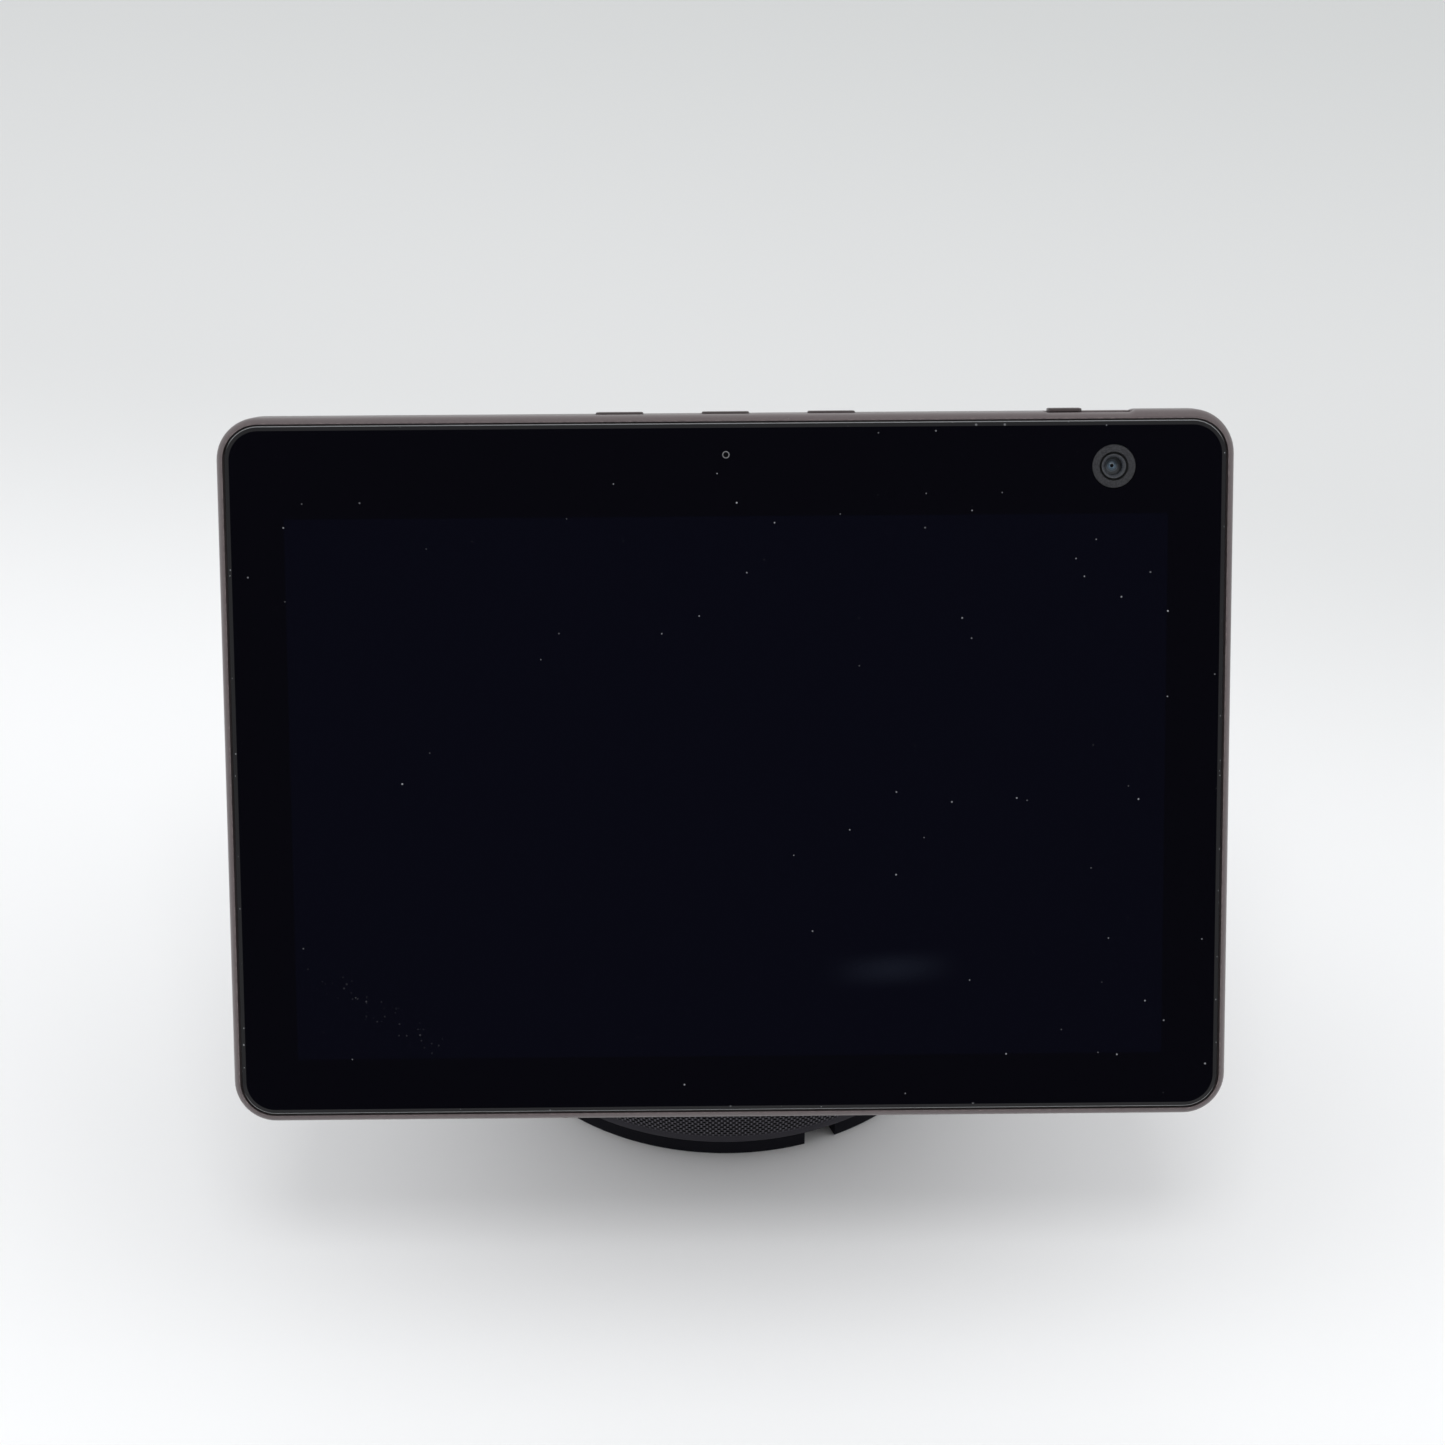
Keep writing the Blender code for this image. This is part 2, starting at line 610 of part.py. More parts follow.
def tweeter_shapes(turn, build):
    """One of the tweeter shapes, carried to its place on the housing wall."""
    return moved(faces_back(build, turn), 0.0, 0.0, HOUSING_Z + TWEETER_UP)


def tweeter_turns():
    return (("left", math.pi - TWEETER_TURN), ("right", math.pi + TWEETER_TURN))


def build_housing(base):
    housing = part(
        "speaker_housing",
        tube(HOUSING_INNER, HOUSING_RADIUS, HOUSING_Z, HOUSING_TOP, LARGE_STEPS),
        BLACK_PLASTIC, base,
    )
    wall = HOUSING_RADIUS - HOUSING_WALL / 2
    front = BAFFLE_FRONT
    chord = math.sqrt(wall * wall - front * front)
    low, high = HOUSING_Z + FIT, HOUSING_TOP - FIT
    join(housing, block(-chord, chord, -front, -front + BAFFLE_THICK, low, high))
    pod = TWEETER_RADIUS + FIT
    outside = pod + POD_WALL
    skin = HOUSING_RADIUS - FIT
    pod_end = math.sqrt(skin * skin - outside * outside)
    for _, turn in tweeter_turns():
        join(housing, tweeter_shapes(turn, rod("Z", outside, POD_INNER, pod_end, steps=MIDDLE_STEPS)))
    for _, x, y in base_screw_places():
        boss = rod("Z", BOSS_RADIUS, HOUSING_Z + FIT, HOUSING_Z + BOSS_HEIGHT, (x, y))
        join(housing, boss)
    for _, turn in tweeter_turns():
        past = HOUSING_RADIUS + pod
        cut(housing, tweeter_shapes(turn, rod("Z", pod, POD_INNER - pod, past, steps=MIDDLE_STEPS)))
    up = HOUSING_Z + WOOFER_UP
    past = HOUSING_RADIUS + BAFFLE_THICK
    cut(housing, rod("Y", WOOFER_HOLE, -past, -front + 2 * BAFFLE_THICK, (0.0, up), MIDDLE_STEPS))
    hole_top = PLATE_Z + HEAD_HEIGHT + BASE_SCREW_LENGTH + FIT
    for _, x, y in base_screw_places():
        cut(housing, rod("Z", SCREW_RADIUS + FIT, 0.0, hole_top, (x, y)))


def build_woofer(base):
    """The bass driver, facing the front of the base and bolted behind the baffle."""
    seat = (0.0, -BAFFLE_FRONT + BAFFLE_THICK + FIT, HOUSING_Z + WOOFER_UP)
    flange = HOUSING_WALL
    throat = MAGNET_RADIUS - COIL_RADIUS / 3
    inside = WOOFER_HOLE - flange
    basket = [(WOOFER_RADIUS, 0.0), (WOOFER_RADIUS, flange), (WOOFER_HOLE, flange),
              (MAGNET_RADIUS, WOOFER_DEPTH), (throat, WOOFER_DEPTH), (inside, flange), (inside, 0.0)]
    behind = WOOFER_DEPTH + FIT
    magnet = [(MAGNET_RADIUS, behind), (MAGNET_RADIUS, behind + MAGNET_DEPTH), (0.0, behind + MAGNET_DEPTH),
              (0.0, behind)]
    edge = CONE_RADIUS + SLIDE_FIT
    roll = inside - FIT
    crest = (edge + roll) / 2
    surround = [(roll, 0.0), (roll, CONE_THICK), (edge, CONE_THICK), (edge, 0.0), (crest, -CONE_THICK)]
    coil = COIL_RADIUS - CONE_THICK
    cone = [(CONE_RADIUS, 0.0), (CONE_RADIUS, CONE_THICK), (COIL_RADIUS, CONE_DEPTH),
            (COIL_RADIUS, CONE_DEPTH + 2 * CONE_THICK), (coil, CONE_DEPTH + 2 * CONE_THICK),
            (coil, CONE_DEPTH - CONE_THICK), (0.0, CONE_DEPTH - 3 * CONE_THICK),
            (0.0, CONE_DEPTH - 4 * CONE_THICK), (COIL_RADIUS, CONE_DEPTH - 2 * CONE_THICK)]
    for name, profile, finish in (
        ("woofer_basket", basket, STEEL),
        ("woofer_magnet", magnet, MAGNET_GREY),
        ("woofer_surround", surround, RUBBER),
        ("woofer_cone", cone, PAPER_CONE),
    ):
        piece = part(name, faces_back(lathe(profile, MIDDLE_STEPS), 0.0), finish, base)
        piece.location = seat


def build_tweeters(base):
    out, deep = TWEETER_OUT, TWEETER_OUT - TWEETER_DEPTH
    under = out - TWEETER_FLANGE
    dome = TWEETER_BODY * 0.6
    profile = [(0.0, out + dome / 2), (dome * 0.7, out + dome / 3), (dome, out), (TWEETER_RADIUS, out),
               (TWEETER_RADIUS, under), (TWEETER_BODY, under), (TWEETER_BODY, deep), (0.0, deep)]
    for side, turn in tweeter_turns():
        part(f"tweeter_{side}", tweeter_shapes(turn, lathe(profile, SMALL_STEPS)), BLACK_PLASTIC, base)


def build_sleeve(base):
    """The knitted tube drawn over the housing."""
    outer, inner = SLEEVE_RADIUS, SLEEVE_RADIUS - SLEEVE_THICK
    low, high = PLATE_Z, MOTOR_PLATE_TOP
    round_in = outer - SLEEVE_ROUND
    profile = [(inner, high), (round_in, high), (outer, high - SLEEVE_ROUND), (outer, low + SLEEVE_ROUND),
               (round_in, low), (inner, low)]
    part("fabric_sleeve", lathe(profile, LARGE_STEPS), KNIT, base)


def build_top_ring(base):
    outer, inner = SLEEVE_RADIUS, TOP_RING_INNER
    low, high = MOTOR_PLATE_TOP + FIT, DECK_TOP
    fall = high - low
    profile = [(inner, high), (outer - 0.45 * TOP_RING_WIDTH, high - 0.05 * fall),
               (outer - 0.18 * TOP_RING_WIDTH, high - 0.20 * fall), (outer, high - 0.50 * fall),
               (outer, low), (inner, low)]
    part("top_ring", lathe(profile, LARGE_STEPS), CHARCOAL_SATIN, base)


def build_motor_plate(base):
    low, high = MOTOR_PLATE_Z, MOTOR_PLATE_TOP
    profile = [(HOUSING_RADIUS, high), (HOUSING_RADIUS, low), (HUB_OUTER, low), (HUB_OUTER, HUB_Z),
               (HUB_INNER, HUB_Z), (HUB_INNER, high)]
    plate = part("motor_plate", lathe(profile, LARGE_STEPS), BLACK_PLASTIC, base)
    stop_top = DECK_Z - 2 * FIT
    join(plate, rod("Z", STOP_PIN, low + FIT, stop_top, (0.0, -STOP_CIRCLE)))


def build_stator(base):
    stator = part(
        "motor_stator",
        tube(HUB_OUTER + FIT, STATOR_RADIUS, STATOR_Z, STATOR_Z + STATOR_HEIGHT),
        COIL_IRON, base,
    )
    root = (HUB_OUTER + STATOR_RADIUS) / 2
    past = STATOR_RADIUS + SLOT_WIDTH
    for index in range(STATOR_SLOTS):
        slot = block(root, past, -SLOT_WIDTH / 2, SLOT_WIDTH / 2, 0.0, DECK_TOP)
        turn = Matrix.Rotation(2 * math.pi * index / STATOR_SLOTS, 3, "Z")
        bmesh.ops.rotate(slot, cent=(0.0, 0.0, 0.0), matrix=turn, verts=slot.verts)
        cut(stator, slot)


def build_bearings(base):
    part("swivel_bush", tube(BUSH_INNER, BUSH_OUTER, HUB_Z, MOTOR_PLATE_TOP), POLYMER, base)
    part(
        "thrust_washer",
        tube(BUSH_OUTER, FLANGE_RADIUS - THRUST_THICK, THRUST_Z, THRUST_Z + THRUST_THICK),
        POLYMER, base,
    )


def build_swivel(swivel):
    flange_top = FLANGE_Z + FLANGE_THICK
    profile = [(FLANGE_RADIUS, flange_top), (FLANGE_RADIUS, FLANGE_Z), (SPINDLE_RADIUS, FLANGE_Z),
               (SPINDLE_RADIUS, NUT_Z), (SPINDLE_BORE, NUT_Z), (SPINDLE_BORE, flange_top)]
    spindle = part("swivel_spindle", lathe(profile, MIDDLE_STEPS), STEEL, swivel)
    for _, x, y in arm_screw_places():
        cut(spindle, rod("Z", SCREW_RADIUS + FIT, 0.0, DECK_TOP, (x, y)))
    hole = SPINDLE_RADIUS + FIT
    rim = STATOR_Z + STATOR_HEIGHT
    bell = [(BELL_OUTER, rim), (BELL_OUTER, BELL_Z), (hole, BELL_Z), (hole, BELL_TOP),
            (BELL_INNER, BELL_TOP), (BELL_INNER, rim)]
    part("motor_bell", lathe(bell, MIDDLE_STEPS), STEEL, swivel)
    part("rotor_magnets", tube(ROTOR_INNER, ROTOR_OUTER, BELL_TOP + FIT, rim), MAGNET_GREY, swivel)
    nut = part("spindle_nut", rod("Z", NUT_RADIUS, NUT_Z, NUT_TOP, steps=6), STEEL, swivel)
    cut(nut, rod("Z", hole, 0.0, DECK_TOP, steps=MIDDLE_STEPS))
    part("swivel_cable", rod("Z", CORE_CABLE_HOLE - FIT, NUT_Z, CORE_DISC_TOP), BLACK_PLASTIC, swivel)


def arm_screw_places():
    places = [(x * ARM_SCREW_X, y * ARM_SCREW_Y) for x in (-1.0, 1.0) for y in (-1.0, 1.0)]
    for index, (x, y) in enumerate(places):
        yield index + 1, x, y


def build_deck(swivel):
    outer, inner = DECK_RADIUS, CORE_DISC + FIT
    skirt = outer - DECK_THICK
    hem = DECK_TOP - DECK_THICK - DECK_SKIRT
    profile = [(inner, DECK_TOP), (outer - DECK_GAP, DECK_TOP), (outer, DECK_TOP - DECK_GAP), (outer, hem),
               (skirt, hem), (skirt, DECK_Z), (inner, DECK_Z)]
    deck = part("turntable_deck", lathe(profile, LARGE_STEPS), CHARCOAL_SATIN, swivel)
    half = STOP_LUG / 2
    lug_low = MOTOR_PLATE_TOP + 2 * FIT
    join(deck, block(-half, half, STOP_CIRCLE - half, STOP_CIRCLE + half, lug_low, DECK_Z + FIT))


def build_neck(swivel):
    axis = (-HINGE_REACH, HINGE_Z)
    foot = CORE_DISC_TOP
    core = part(
        "neck_core",
        hull(
            rod("X", CORE_BARREL, -CORE_HALF, CORE_HALF, axis),
            block(-CORE_FOOT_HALF, CORE_FOOT_HALF, -CORE_FOOT_FRONT, CORE_FOOT_BACK, foot - FIT, foot + FIT),
        ),
        ALUMINIUM, swivel,
    )
    join(core, rod("Z", CORE_DISC, DECK_Z, foot, steps=MIDDLE_STEPS))
    cut(core, rod("X", SHAFT_RADIUS + FIT, -NECK_HALF, NECK_HALF, axis))
    cut(core, rod("Z", CORE_CABLE_HOLE, 0.0, HINGE_Z))
    for index, x, y in arm_screw_places():
        cut(core, rod("Z", SCREW_RADIUS + FIT, 0.0, HINGE_Z, (x, y)))
        screw = part(f"arm_screw_{index}", screw_shape(ARM_SCREW_LENGTH, False), STEEL, swivel)
        screw.location = (x, y, foot + FIT)
    seat = DECK_TOP + FIT
    wall = NECK_WALL
    outside = hull(
        rod("X", NECK_BARREL, -NECK_HALF, NECK_HALF, axis, MIDDLE_STEPS),
        block(-NECK_HALF, NECK_HALF, -NECK_FOOT_FRONT, NECK_FOOT_BACK, seat, seat + NECK_FOOT_EDGE),
    )
    round_sharp(outside, NECK_ROUND, seat + FIT)
    cover = part("neck_cover", outside, CHARCOAL, swivel)
    inside = NECK_HALF - wall
    cut(
        cover,
        hull(
            rod("X", NECK_BARREL - wall, wall - NECK_HALF, NECK_HALF - wall, axis, MIDDLE_STEPS),
            block(-inside, inside, wall - NECK_FOOT_FRONT, NECK_FOOT_BACK - wall, seat - wall,
                  seat + NECK_FOOT_EDGE - wall),
        ),
    )
    cut(cover, rod("X", SHAFT_RADIUS + FIT, -2 * NECK_HALF, 2 * NECK_HALF, axis))
    for side, way in (("left", -1.0), ("right", 1.0)):
        ends = sorted((way * (CORE_HALF + FIT), way * (NECK_HALF - wall - FIT)))
        washer = part(f"friction_washer_{side}", rod("X", WASHER_RADIUS, *ends, axis), STEEL, swivel)
        cut(washer, rod("X", SHAFT_RADIUS + FIT, -NECK_HALF, NECK_HALF, axis))


def build_frame(face):
    frame = part(
        "display_frame",
        slab(PANEL_WIDTH, PANEL_HEIGHT, 0.0, FRAME_DEPTH, PANEL_CORNER, front=FRAME_ROUND),
        CHARCOAL, face,
    )
    lip = 2 * RIM_LIP
    cut(frame, slab(PANEL_WIDTH - lip, PANEL_HEIGHT - lip, -LEDGE_Y, LEDGE_Y, PANEL_CORNER - RIM_LIP))
    ledge = 2 * (FRAME_WALL + LEDGE_WIDTH)
    cut(frame, slab(PANEL_WIDTH - ledge, PANEL_HEIGHT - ledge, 0.0, FRAME_DEPTH, PANEL_CORNER / 2))
    wall = 2 * FRAME_WALL
    inner_corner = PANEL_CORNER - FRAME_WALL
    cut(frame, slab(PANEL_WIDTH - wall, PANEL_HEIGHT - wall, LEDGE_BACK, 2 * FRAME_DEPTH, inner_corner))
    above = PANEL_TOP + FRAME_WALL
    half, deep = BUTTON_WIDTH / 2 + FIT, BUTTON_DEPTH / 2 + FIT
    for _, x in button_places():
        cut(frame, block(x - half, x + half, BUTTON_BACK - deep, BUTTON_BACK + deep,
                         WALL_UNDER - FRAME_WALL, above))
    left = KNOB_X - KNOB_WIDTH / 2 - TRACK_MARGIN
    right = CAMERA_X + KNOB_WIDTH / 2 + TRACK_MARGIN
    cut(frame, block(left, right, TRACK_FRONT, TRACK_BACK, TRACK_FLOOR, above))
    reach = STEM_WIDTH / 2 + SLIDE_FIT
    cut(frame, block(KNOB_X - reach, CAMERA_X + reach, BLADE_Y - FIT, BLADE_Y + STEM_THICK + FIT,
                     WALL_UNDER - FRAME_WALL, above))


def build_glass(face):
    glass = part(
        "front_glass",
        slab(GLASS_WIDTH, GLASS_HEIGHT, 0.0, GLASS_THICK, GLASS_CORNER, front=GLASS_CHAMFER, steps=1),
        BLACK_GLASS, face,
    )
    past = 2 * GLASS_THICK
    cut(glass, rod("Y", CAMERA_RING + FIT / 2, -past, past, (CAMERA_X, CAMERA_UP), MIDDLE_STEPS))
    cut(glass, rod("Y", SENSOR_RADIUS + FIT / 2, -past, past, (0.0, SENSOR_UP)))
    back = SCREEN_Y + SCREEN_THICK
    tall, middle = SCREEN_TOP - SCREEN_BOTTOM, (SCREEN_TOP + SCREEN_BOTTOM) / 2
    part("lcd_panel", slab(SCREEN_WIDTH, tall, SCREEN_Y, back, GLASS_THICK, up=middle), SCREEN_DARK, face)


def build_camera(face):
    """The camera behind its trim ring, and the light sensor at the middle of the top edge."""
    ring = part(
        "camera_trim_ring",
        rod("Y", CAMERA_RING, CAMERA_SINK, LEDGE_BACK, (CAMERA_X, CAMERA_UP), MIDDLE_STEPS),
        RING_GREY, face,
    )
    cut(ring, rod("Y", CAMERA_OPENING, -LEDGE_BACK, 2 * LEDGE_BACK, (CAMERA_X, CAMERA_UP), MIDDLE_STEPS))
    bore = LENS_RADIUS + FIT
    throat = LENS_RADIUS - FIT
    step = SLIDE_FIT + LENS_LENGTH + FIT
    barrel = [(BARREL_RADIUS, 0.0), (BARREL_RADIUS, BARREL_LENGTH), (throat, BARREL_LENGTH),
              (throat, step), (bore, step), (bore, 0.0)]
    lens = [(0.0, SLIDE_FIT), (LENS_RADIUS * 0.6, SLIDE_FIT + LENS_DOME * 0.3),
            (LENS_RADIUS, SLIDE_FIT + LENS_DOME), (LENS_RADIUS, SLIDE_FIT + LENS_LENGTH),
            (0.0, SLIDE_FIT + LENS_LENGTH)]
    for name, profile, finish in (
        ("camera_barrel", barrel, BLACK_PLASTIC),
        ("camera_lens", lens, LENS_GLASS),
    ):
        piece = part(name, faces_back(lathe(profile, SMALL_STEPS), 0.0), finish, face)
        piece.location = (CAMERA_X, BARREL_Y, CAMERA_UP)
    half, tall = CAMERA_BOARD_WIDTH / 2, CAMERA_BOARD_HEIGHT / 2
    part(
        "camera_board",
        block(CAMERA_X - half, CAMERA_X + half, CAMERA_BOARD_Y, CAMERA_BOARD_Y + CHASSIS_THICK,
              CAMERA_UP - tall, CAMERA_UP + tall),
        BOARD_GREEN, face,
    )
    part(
        "light_sensor",
        rod("Y", SENSOR_RADIUS, CAMERA_SINK, LEDGE_BACK, (0.0, SENSOR_UP)),
        LENS_GLASS, face,
    )


def build_shutter(face):
    """The sliding knob on the top edge and the blade it carries across the camera."""
    shutter = empty("shutter_slide", face, (KNOB_X, BLADE_Y, TRACK_FLOOR))
    half = KNOB_WIDTH / 2
    top = TRACK_SINK + KNOB_PROUD
    knob = part(
        "shutter_knob",
        block(-half, half, KNOB_FRONT - BLADE_Y, KNOB_BACK - BLADE_Y, FIT, top),
        CHARCOAL_SATIN, shutter,
    )
    stem = STEM_WIDTH / 2
    blade_top = BLADE_BOTTOM + BLADE_HEIGHT - TRACK_FLOOR
    join(knob, block(-stem, stem, 0.0, STEM_THICK, blade_top + FIT, 2 * FIT))
    wide = BLADE_WIDTH / 2
    part(
        "shutter_blade",
        block(-wide, wide, 0.0, BLADE_THICK, blade_top - BLADE_HEIGHT, blade_top),
        BLACK_PLASTIC, shutter,
    )


def button_places():
    return (
        ("volume_down_button", -BUTTON_PITCH),
        ("volume_up_button", 0.0),
        ("privacy_button", BUTTON_PITCH),
    )


def build_buttons(face):
    """Three push buttons in the top edge, and the circuit strip with their switches."""
    half, deep = BUTTON_WIDTH / 2, BUTTON_DEPTH / 2
    under = BUTTON_FLANGE_TOP - BUTTON_FLANGE - PANEL_TOP
    flange_top = BUTTON_FLANGE_TOP - PANEL_TOP
    for name, x in button_places():
        slide = empty(f"{name}_slide", face, (x, BUTTON_BACK, PANEL_TOP))
        cap = block(-half, half, -deep, deep, under, BUTTON_PROUD)
        ridge = [e for e in cap.edges if all(v.co.z > 0.0 for v in e.verts)]
        round_edges(cap, ridge, BUTTON_PROUD * 0.7, 2)
        button = part(name, cap, CHARCOAL_SATIN, slide)
        tab = half + BUTTON_TAB
        join(button, block(-tab, tab, -deep + FIT, deep - FIT, under + FIT / 3, flange_top))
    side = STRIP_WIDTH / 2
    strip_top = WALL_UNDER - FIT
    strip = part(
        "button_board",
        block(-side, side, STRIP_Y, STRIP_BACK, strip_top - STRIP_HEIGHT, strip_top),
        BOARD_GREEN, face,
    )
    wide = SWITCH_WIDTH / 2
    for _, x in button_places():
        join(strip, block(x - wide, x + wide, STRIP_BACK - FIT, BUTTON_BACK + deep,
                          SWITCH_TOP - SWITCH_HEIGHT, SWITCH_TOP))


def build_boards(face):
    tall, middle = CHASSIS_TOP - CHASSIS_BOTTOM, (CHASSIS_TOP + CHASSIS_BOTTOM) / 2
    part(
        "display_chassis",
        slab(CHASSIS_WIDTH, tall, CHASSIS_Y, CHASSIS_BACK, PANEL_CORNER / 2, up=middle),
        ALUMINIUM, face,
    )
    half = MAIN_BOARD_WIDTH / 2
    low, high = MAIN_BOARD_UP - MAIN_BOARD_HEIGHT / 2, MAIN_BOARD_UP + MAIN_BOARD_HEIGHT / 2
    board = part(
        "main_board",
        block(-half, half, MAIN_BOARD_Y, MAIN_BOARD_BACK, low, high),
        BOARD_GREEN, face,
    )
    chip = CHIP_SIZE / 2
    for x in (-CHIP_PITCH, 0.0, CHIP_PITCH):
        join(board, block(x - chip, x + chip, MAIN_BOARD_Y + BOARD_THICK / 2, CHIP_BACK,
                          MAIN_BOARD_UP - chip, MAIN_BOARD_UP + chip))
    wide = CHIP_PITCH + CHIP_SIZE
    part(
        "heat_spreader",
        block(-wide, wide, SPREADER_Y, SPREADER_Y + SPREADER_THICK, MAIN_BOARD_UP - CHIP_SIZE,
              MAIN_BOARD_UP + CHIP_SIZE),
        ALUMINIUM, face,
    )


def lug_sides():
    return ((-LUG_OUTER, -LUG_INNER), (LUG_INNER, LUG_OUTER))


def build_rear_cover(face):
    cover = part(
        "rear_cover",
        slab(PANEL_WIDTH, PANEL_HEIGHT, COVER_Y, PANEL_DEPTH, PANEL_CORNER, back=BACK_ROUND, steps=4),
        CHARCOAL, face,
    )
    wall = 2 * COVER_WALL
    inside = PANEL_DEPTH - COVER_WALL
    inner_corner = PANEL_CORNER - COVER_WALL
    inner_round = BACK_ROUND - COVER_WALL
    cut(cover, slab(PANEL_WIDTH - wall, PANEL_HEIGHT - wall, 0.0, inside, inner_corner, back=inner_round))
    half, tall = CAMERA_BOARD_WIDTH / 3, CAMERA_BOARD_HEIGHT / 3
    rest = CAMERA_BOARD_Y + CHASSIS_THICK + FIT
    join(cover, block(CAMERA_X - half, CAMERA_X + half, rest, inside + COVER_WALL / 2,
                      CAMERA_UP - tall, CAMERA_UP + tall))
    slot = LUG_RADIUS + 2 * FIT
    low, high = -HINGE_DROP - slot, -HINGE_DROP + slot
    for x0, x1 in lug_sides():
        cut(cover, block(x0 - FIT, x1 + FIT, FRAME_DEPTH, 2 * PANEL_DEPTH, low, high))


def build_bracket(face):
    """The steel bracket on the chassis, whose two lugs carry the tilt shaft."""
    half = LUG_OUTER + BRACKET_MARGIN
    tall = BRACKET_HEIGHT / 2
    bracket = part(
        "hinge_bracket",
        block(-half, half, BRACKET_Y, BRACKET_BACK, -HINGE_DROP - tall, -HINGE_DROP + tall),
        STEEL, face,
    )
    axis = (HINGE_BACK, -HINGE_DROP)
    bury = BRACKET_BACK - BRACKET_THICK / 2
    for x0, x1 in lug_sides():
        lug = hull(
            rod("X", LUG_RADIUS, x0, x1, axis, MIDDLE_STEPS),
            block(x0, x1, bury, BRACKET_BACK, -HINGE_DROP - LUG_RADIUS, -HINGE_DROP + LUG_RADIUS),
        )
        join(bracket, lug)
    cut(bracket, rod("X", SHAFT_RADIUS + FIT, -half, half, axis))
    screw_x = half - BRACKET_MARGIN / 2
    for name, x in (("bracket_screw_left", -screw_x), ("bracket_screw_right", screw_x)):
        up = BRACKET_SCREW_UP - HINGE_DROP
        cut(bracket, rod("Y", SCREW_RADIUS + FIT, 0.0, PANEL_DEPTH, (x, up)))
        shape = faces_back(screw_shape(BRACKET_THICK, False), 0.0)
        screw = part(name, shape, STEEL, face)
        screw.location = (x, BRACKET_BACK + FIT, up)
    part("tilt_shaft", rod("X", SHAFT_RADIUS, -LUG_OUTER, LUG_OUTER, axis), STEEL, face)
    for name, x0, x1 in (
        ("hinge_cap_left", -CAP_INNER - CAP_THICK, -CAP_INNER),
        ("hinge_cap_right", CAP_INNER, CAP_INNER + CAP_THICK),
    ):
        part(name, rod("X", CAP_RADIUS, x0, x1, axis, MIDDLE_STEPS), CHARCOAL_SATIN, face)


clear_scene()
PARTS = add_collection("smart_display")
CUTTERS = add_collection("cutters")

base_front = empty("base_front", None, turn=(0.0, 0.0, BASE_TURN))
build_foot(base_front)
build_base_plate(base_front)
build_base_screws(base_front)
build_power(base_front)
build_housing(base_front)
build_woofer(base_front)
build_tweeters(base_front)
build_sleeve(base_front)
build_top_ring(base_front)
build_motor_plate(base_front)
build_stator(base_front)
build_bearings(base_front)

swivel_axis = empty("swivel_axis", None)
build_swivel(swivel_axis)
build_deck(swivel_axis)
build_neck(swivel_axis)

tilt_axis = empty("tilt_axis", swivel_axis, (0.0, -HINGE_REACH, HINGE_Z), (-REST_TILT, 0.0, 0.0))
panel_face = empty("panel_face", tilt_axis, (0.0, -HINGE_BACK, HINGE_DROP))
build_frame(panel_face)
build_glass(panel_face)
build_camera(panel_face)
build_shutter(panel_face)
build_buttons(panel_face)
build_boards(panel_face)
build_rear_cover(panel_face)
build_bracket(panel_face)
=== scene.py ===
"""Looks of a motorised smart display: a tilting glass panel on an arm above a round knitted speaker base.

Everything is in metres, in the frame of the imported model. The panel has axes of its own:
x to the right, y behind the face of the glass, z up from the middle of the panel.
"""

from __future__ import annotations

import json
import logging
import math
from collections.abc import Callable, Iterable, Sequence
from dataclasses import dataclass, field
from enum import Enum
from typing import Any, Protocol

import bmesh
import bpy
from mathutils import Matrix, Vector

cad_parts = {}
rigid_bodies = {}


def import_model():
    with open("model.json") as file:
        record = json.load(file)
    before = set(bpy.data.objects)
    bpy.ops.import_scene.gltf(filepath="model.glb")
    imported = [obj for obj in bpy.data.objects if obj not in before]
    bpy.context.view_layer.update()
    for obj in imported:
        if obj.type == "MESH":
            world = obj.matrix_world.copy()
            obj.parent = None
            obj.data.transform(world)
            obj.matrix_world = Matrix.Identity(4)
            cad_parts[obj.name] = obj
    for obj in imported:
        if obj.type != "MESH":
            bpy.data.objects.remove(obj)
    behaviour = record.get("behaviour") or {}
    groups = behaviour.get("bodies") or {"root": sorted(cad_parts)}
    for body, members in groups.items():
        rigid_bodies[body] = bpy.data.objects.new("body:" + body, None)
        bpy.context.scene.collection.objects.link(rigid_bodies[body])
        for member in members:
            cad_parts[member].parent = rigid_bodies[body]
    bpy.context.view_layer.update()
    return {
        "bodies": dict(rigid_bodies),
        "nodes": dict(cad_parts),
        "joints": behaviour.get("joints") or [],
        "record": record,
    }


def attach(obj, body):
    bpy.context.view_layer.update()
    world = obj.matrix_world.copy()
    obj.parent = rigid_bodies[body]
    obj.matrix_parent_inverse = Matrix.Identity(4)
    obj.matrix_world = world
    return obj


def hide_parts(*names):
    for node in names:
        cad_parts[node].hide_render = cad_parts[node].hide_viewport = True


Point = tuple[float, float, float]
Pair = tuple[float, float]
Colour = tuple[float, float, float]
Loop = list[Point]

MM = 0.001
LOG = logging.getLogger("smart_display")


class Axis(Enum):
    """The line that a turned piece runs along."""

    X = "x"
    Y = "y"
    Z = "z"

    def point(self, across: float, up: float, along: float) -> Point:
        """Places two cross coordinates and one along the axis.

        Args:
            across: The first cross coordinate.
            up: The second one.
            along: The place on the axis.

        Returns:
            The point.
        """
        if self is Axis.X:
            return (along, across, up)
        if self is Axis.Y:
            return (across, along, up)
        return (across, up, along)


class Effect(Enum):
    """Surface effects that finishes share."""

    GRAIN = "fine_grain"
    DUST = "settled_dust"
    WEAR = "edge_wear_and_highlight"
    SMUDGE = "touch_smudge"
    LAY = "tool_lay"


def shade(colour: Colour, share: float) -> Colour:
    """Gives a colour made darker or lighter by a share."""
    return (share * colour[0], share * colour[1], share * colour[2])


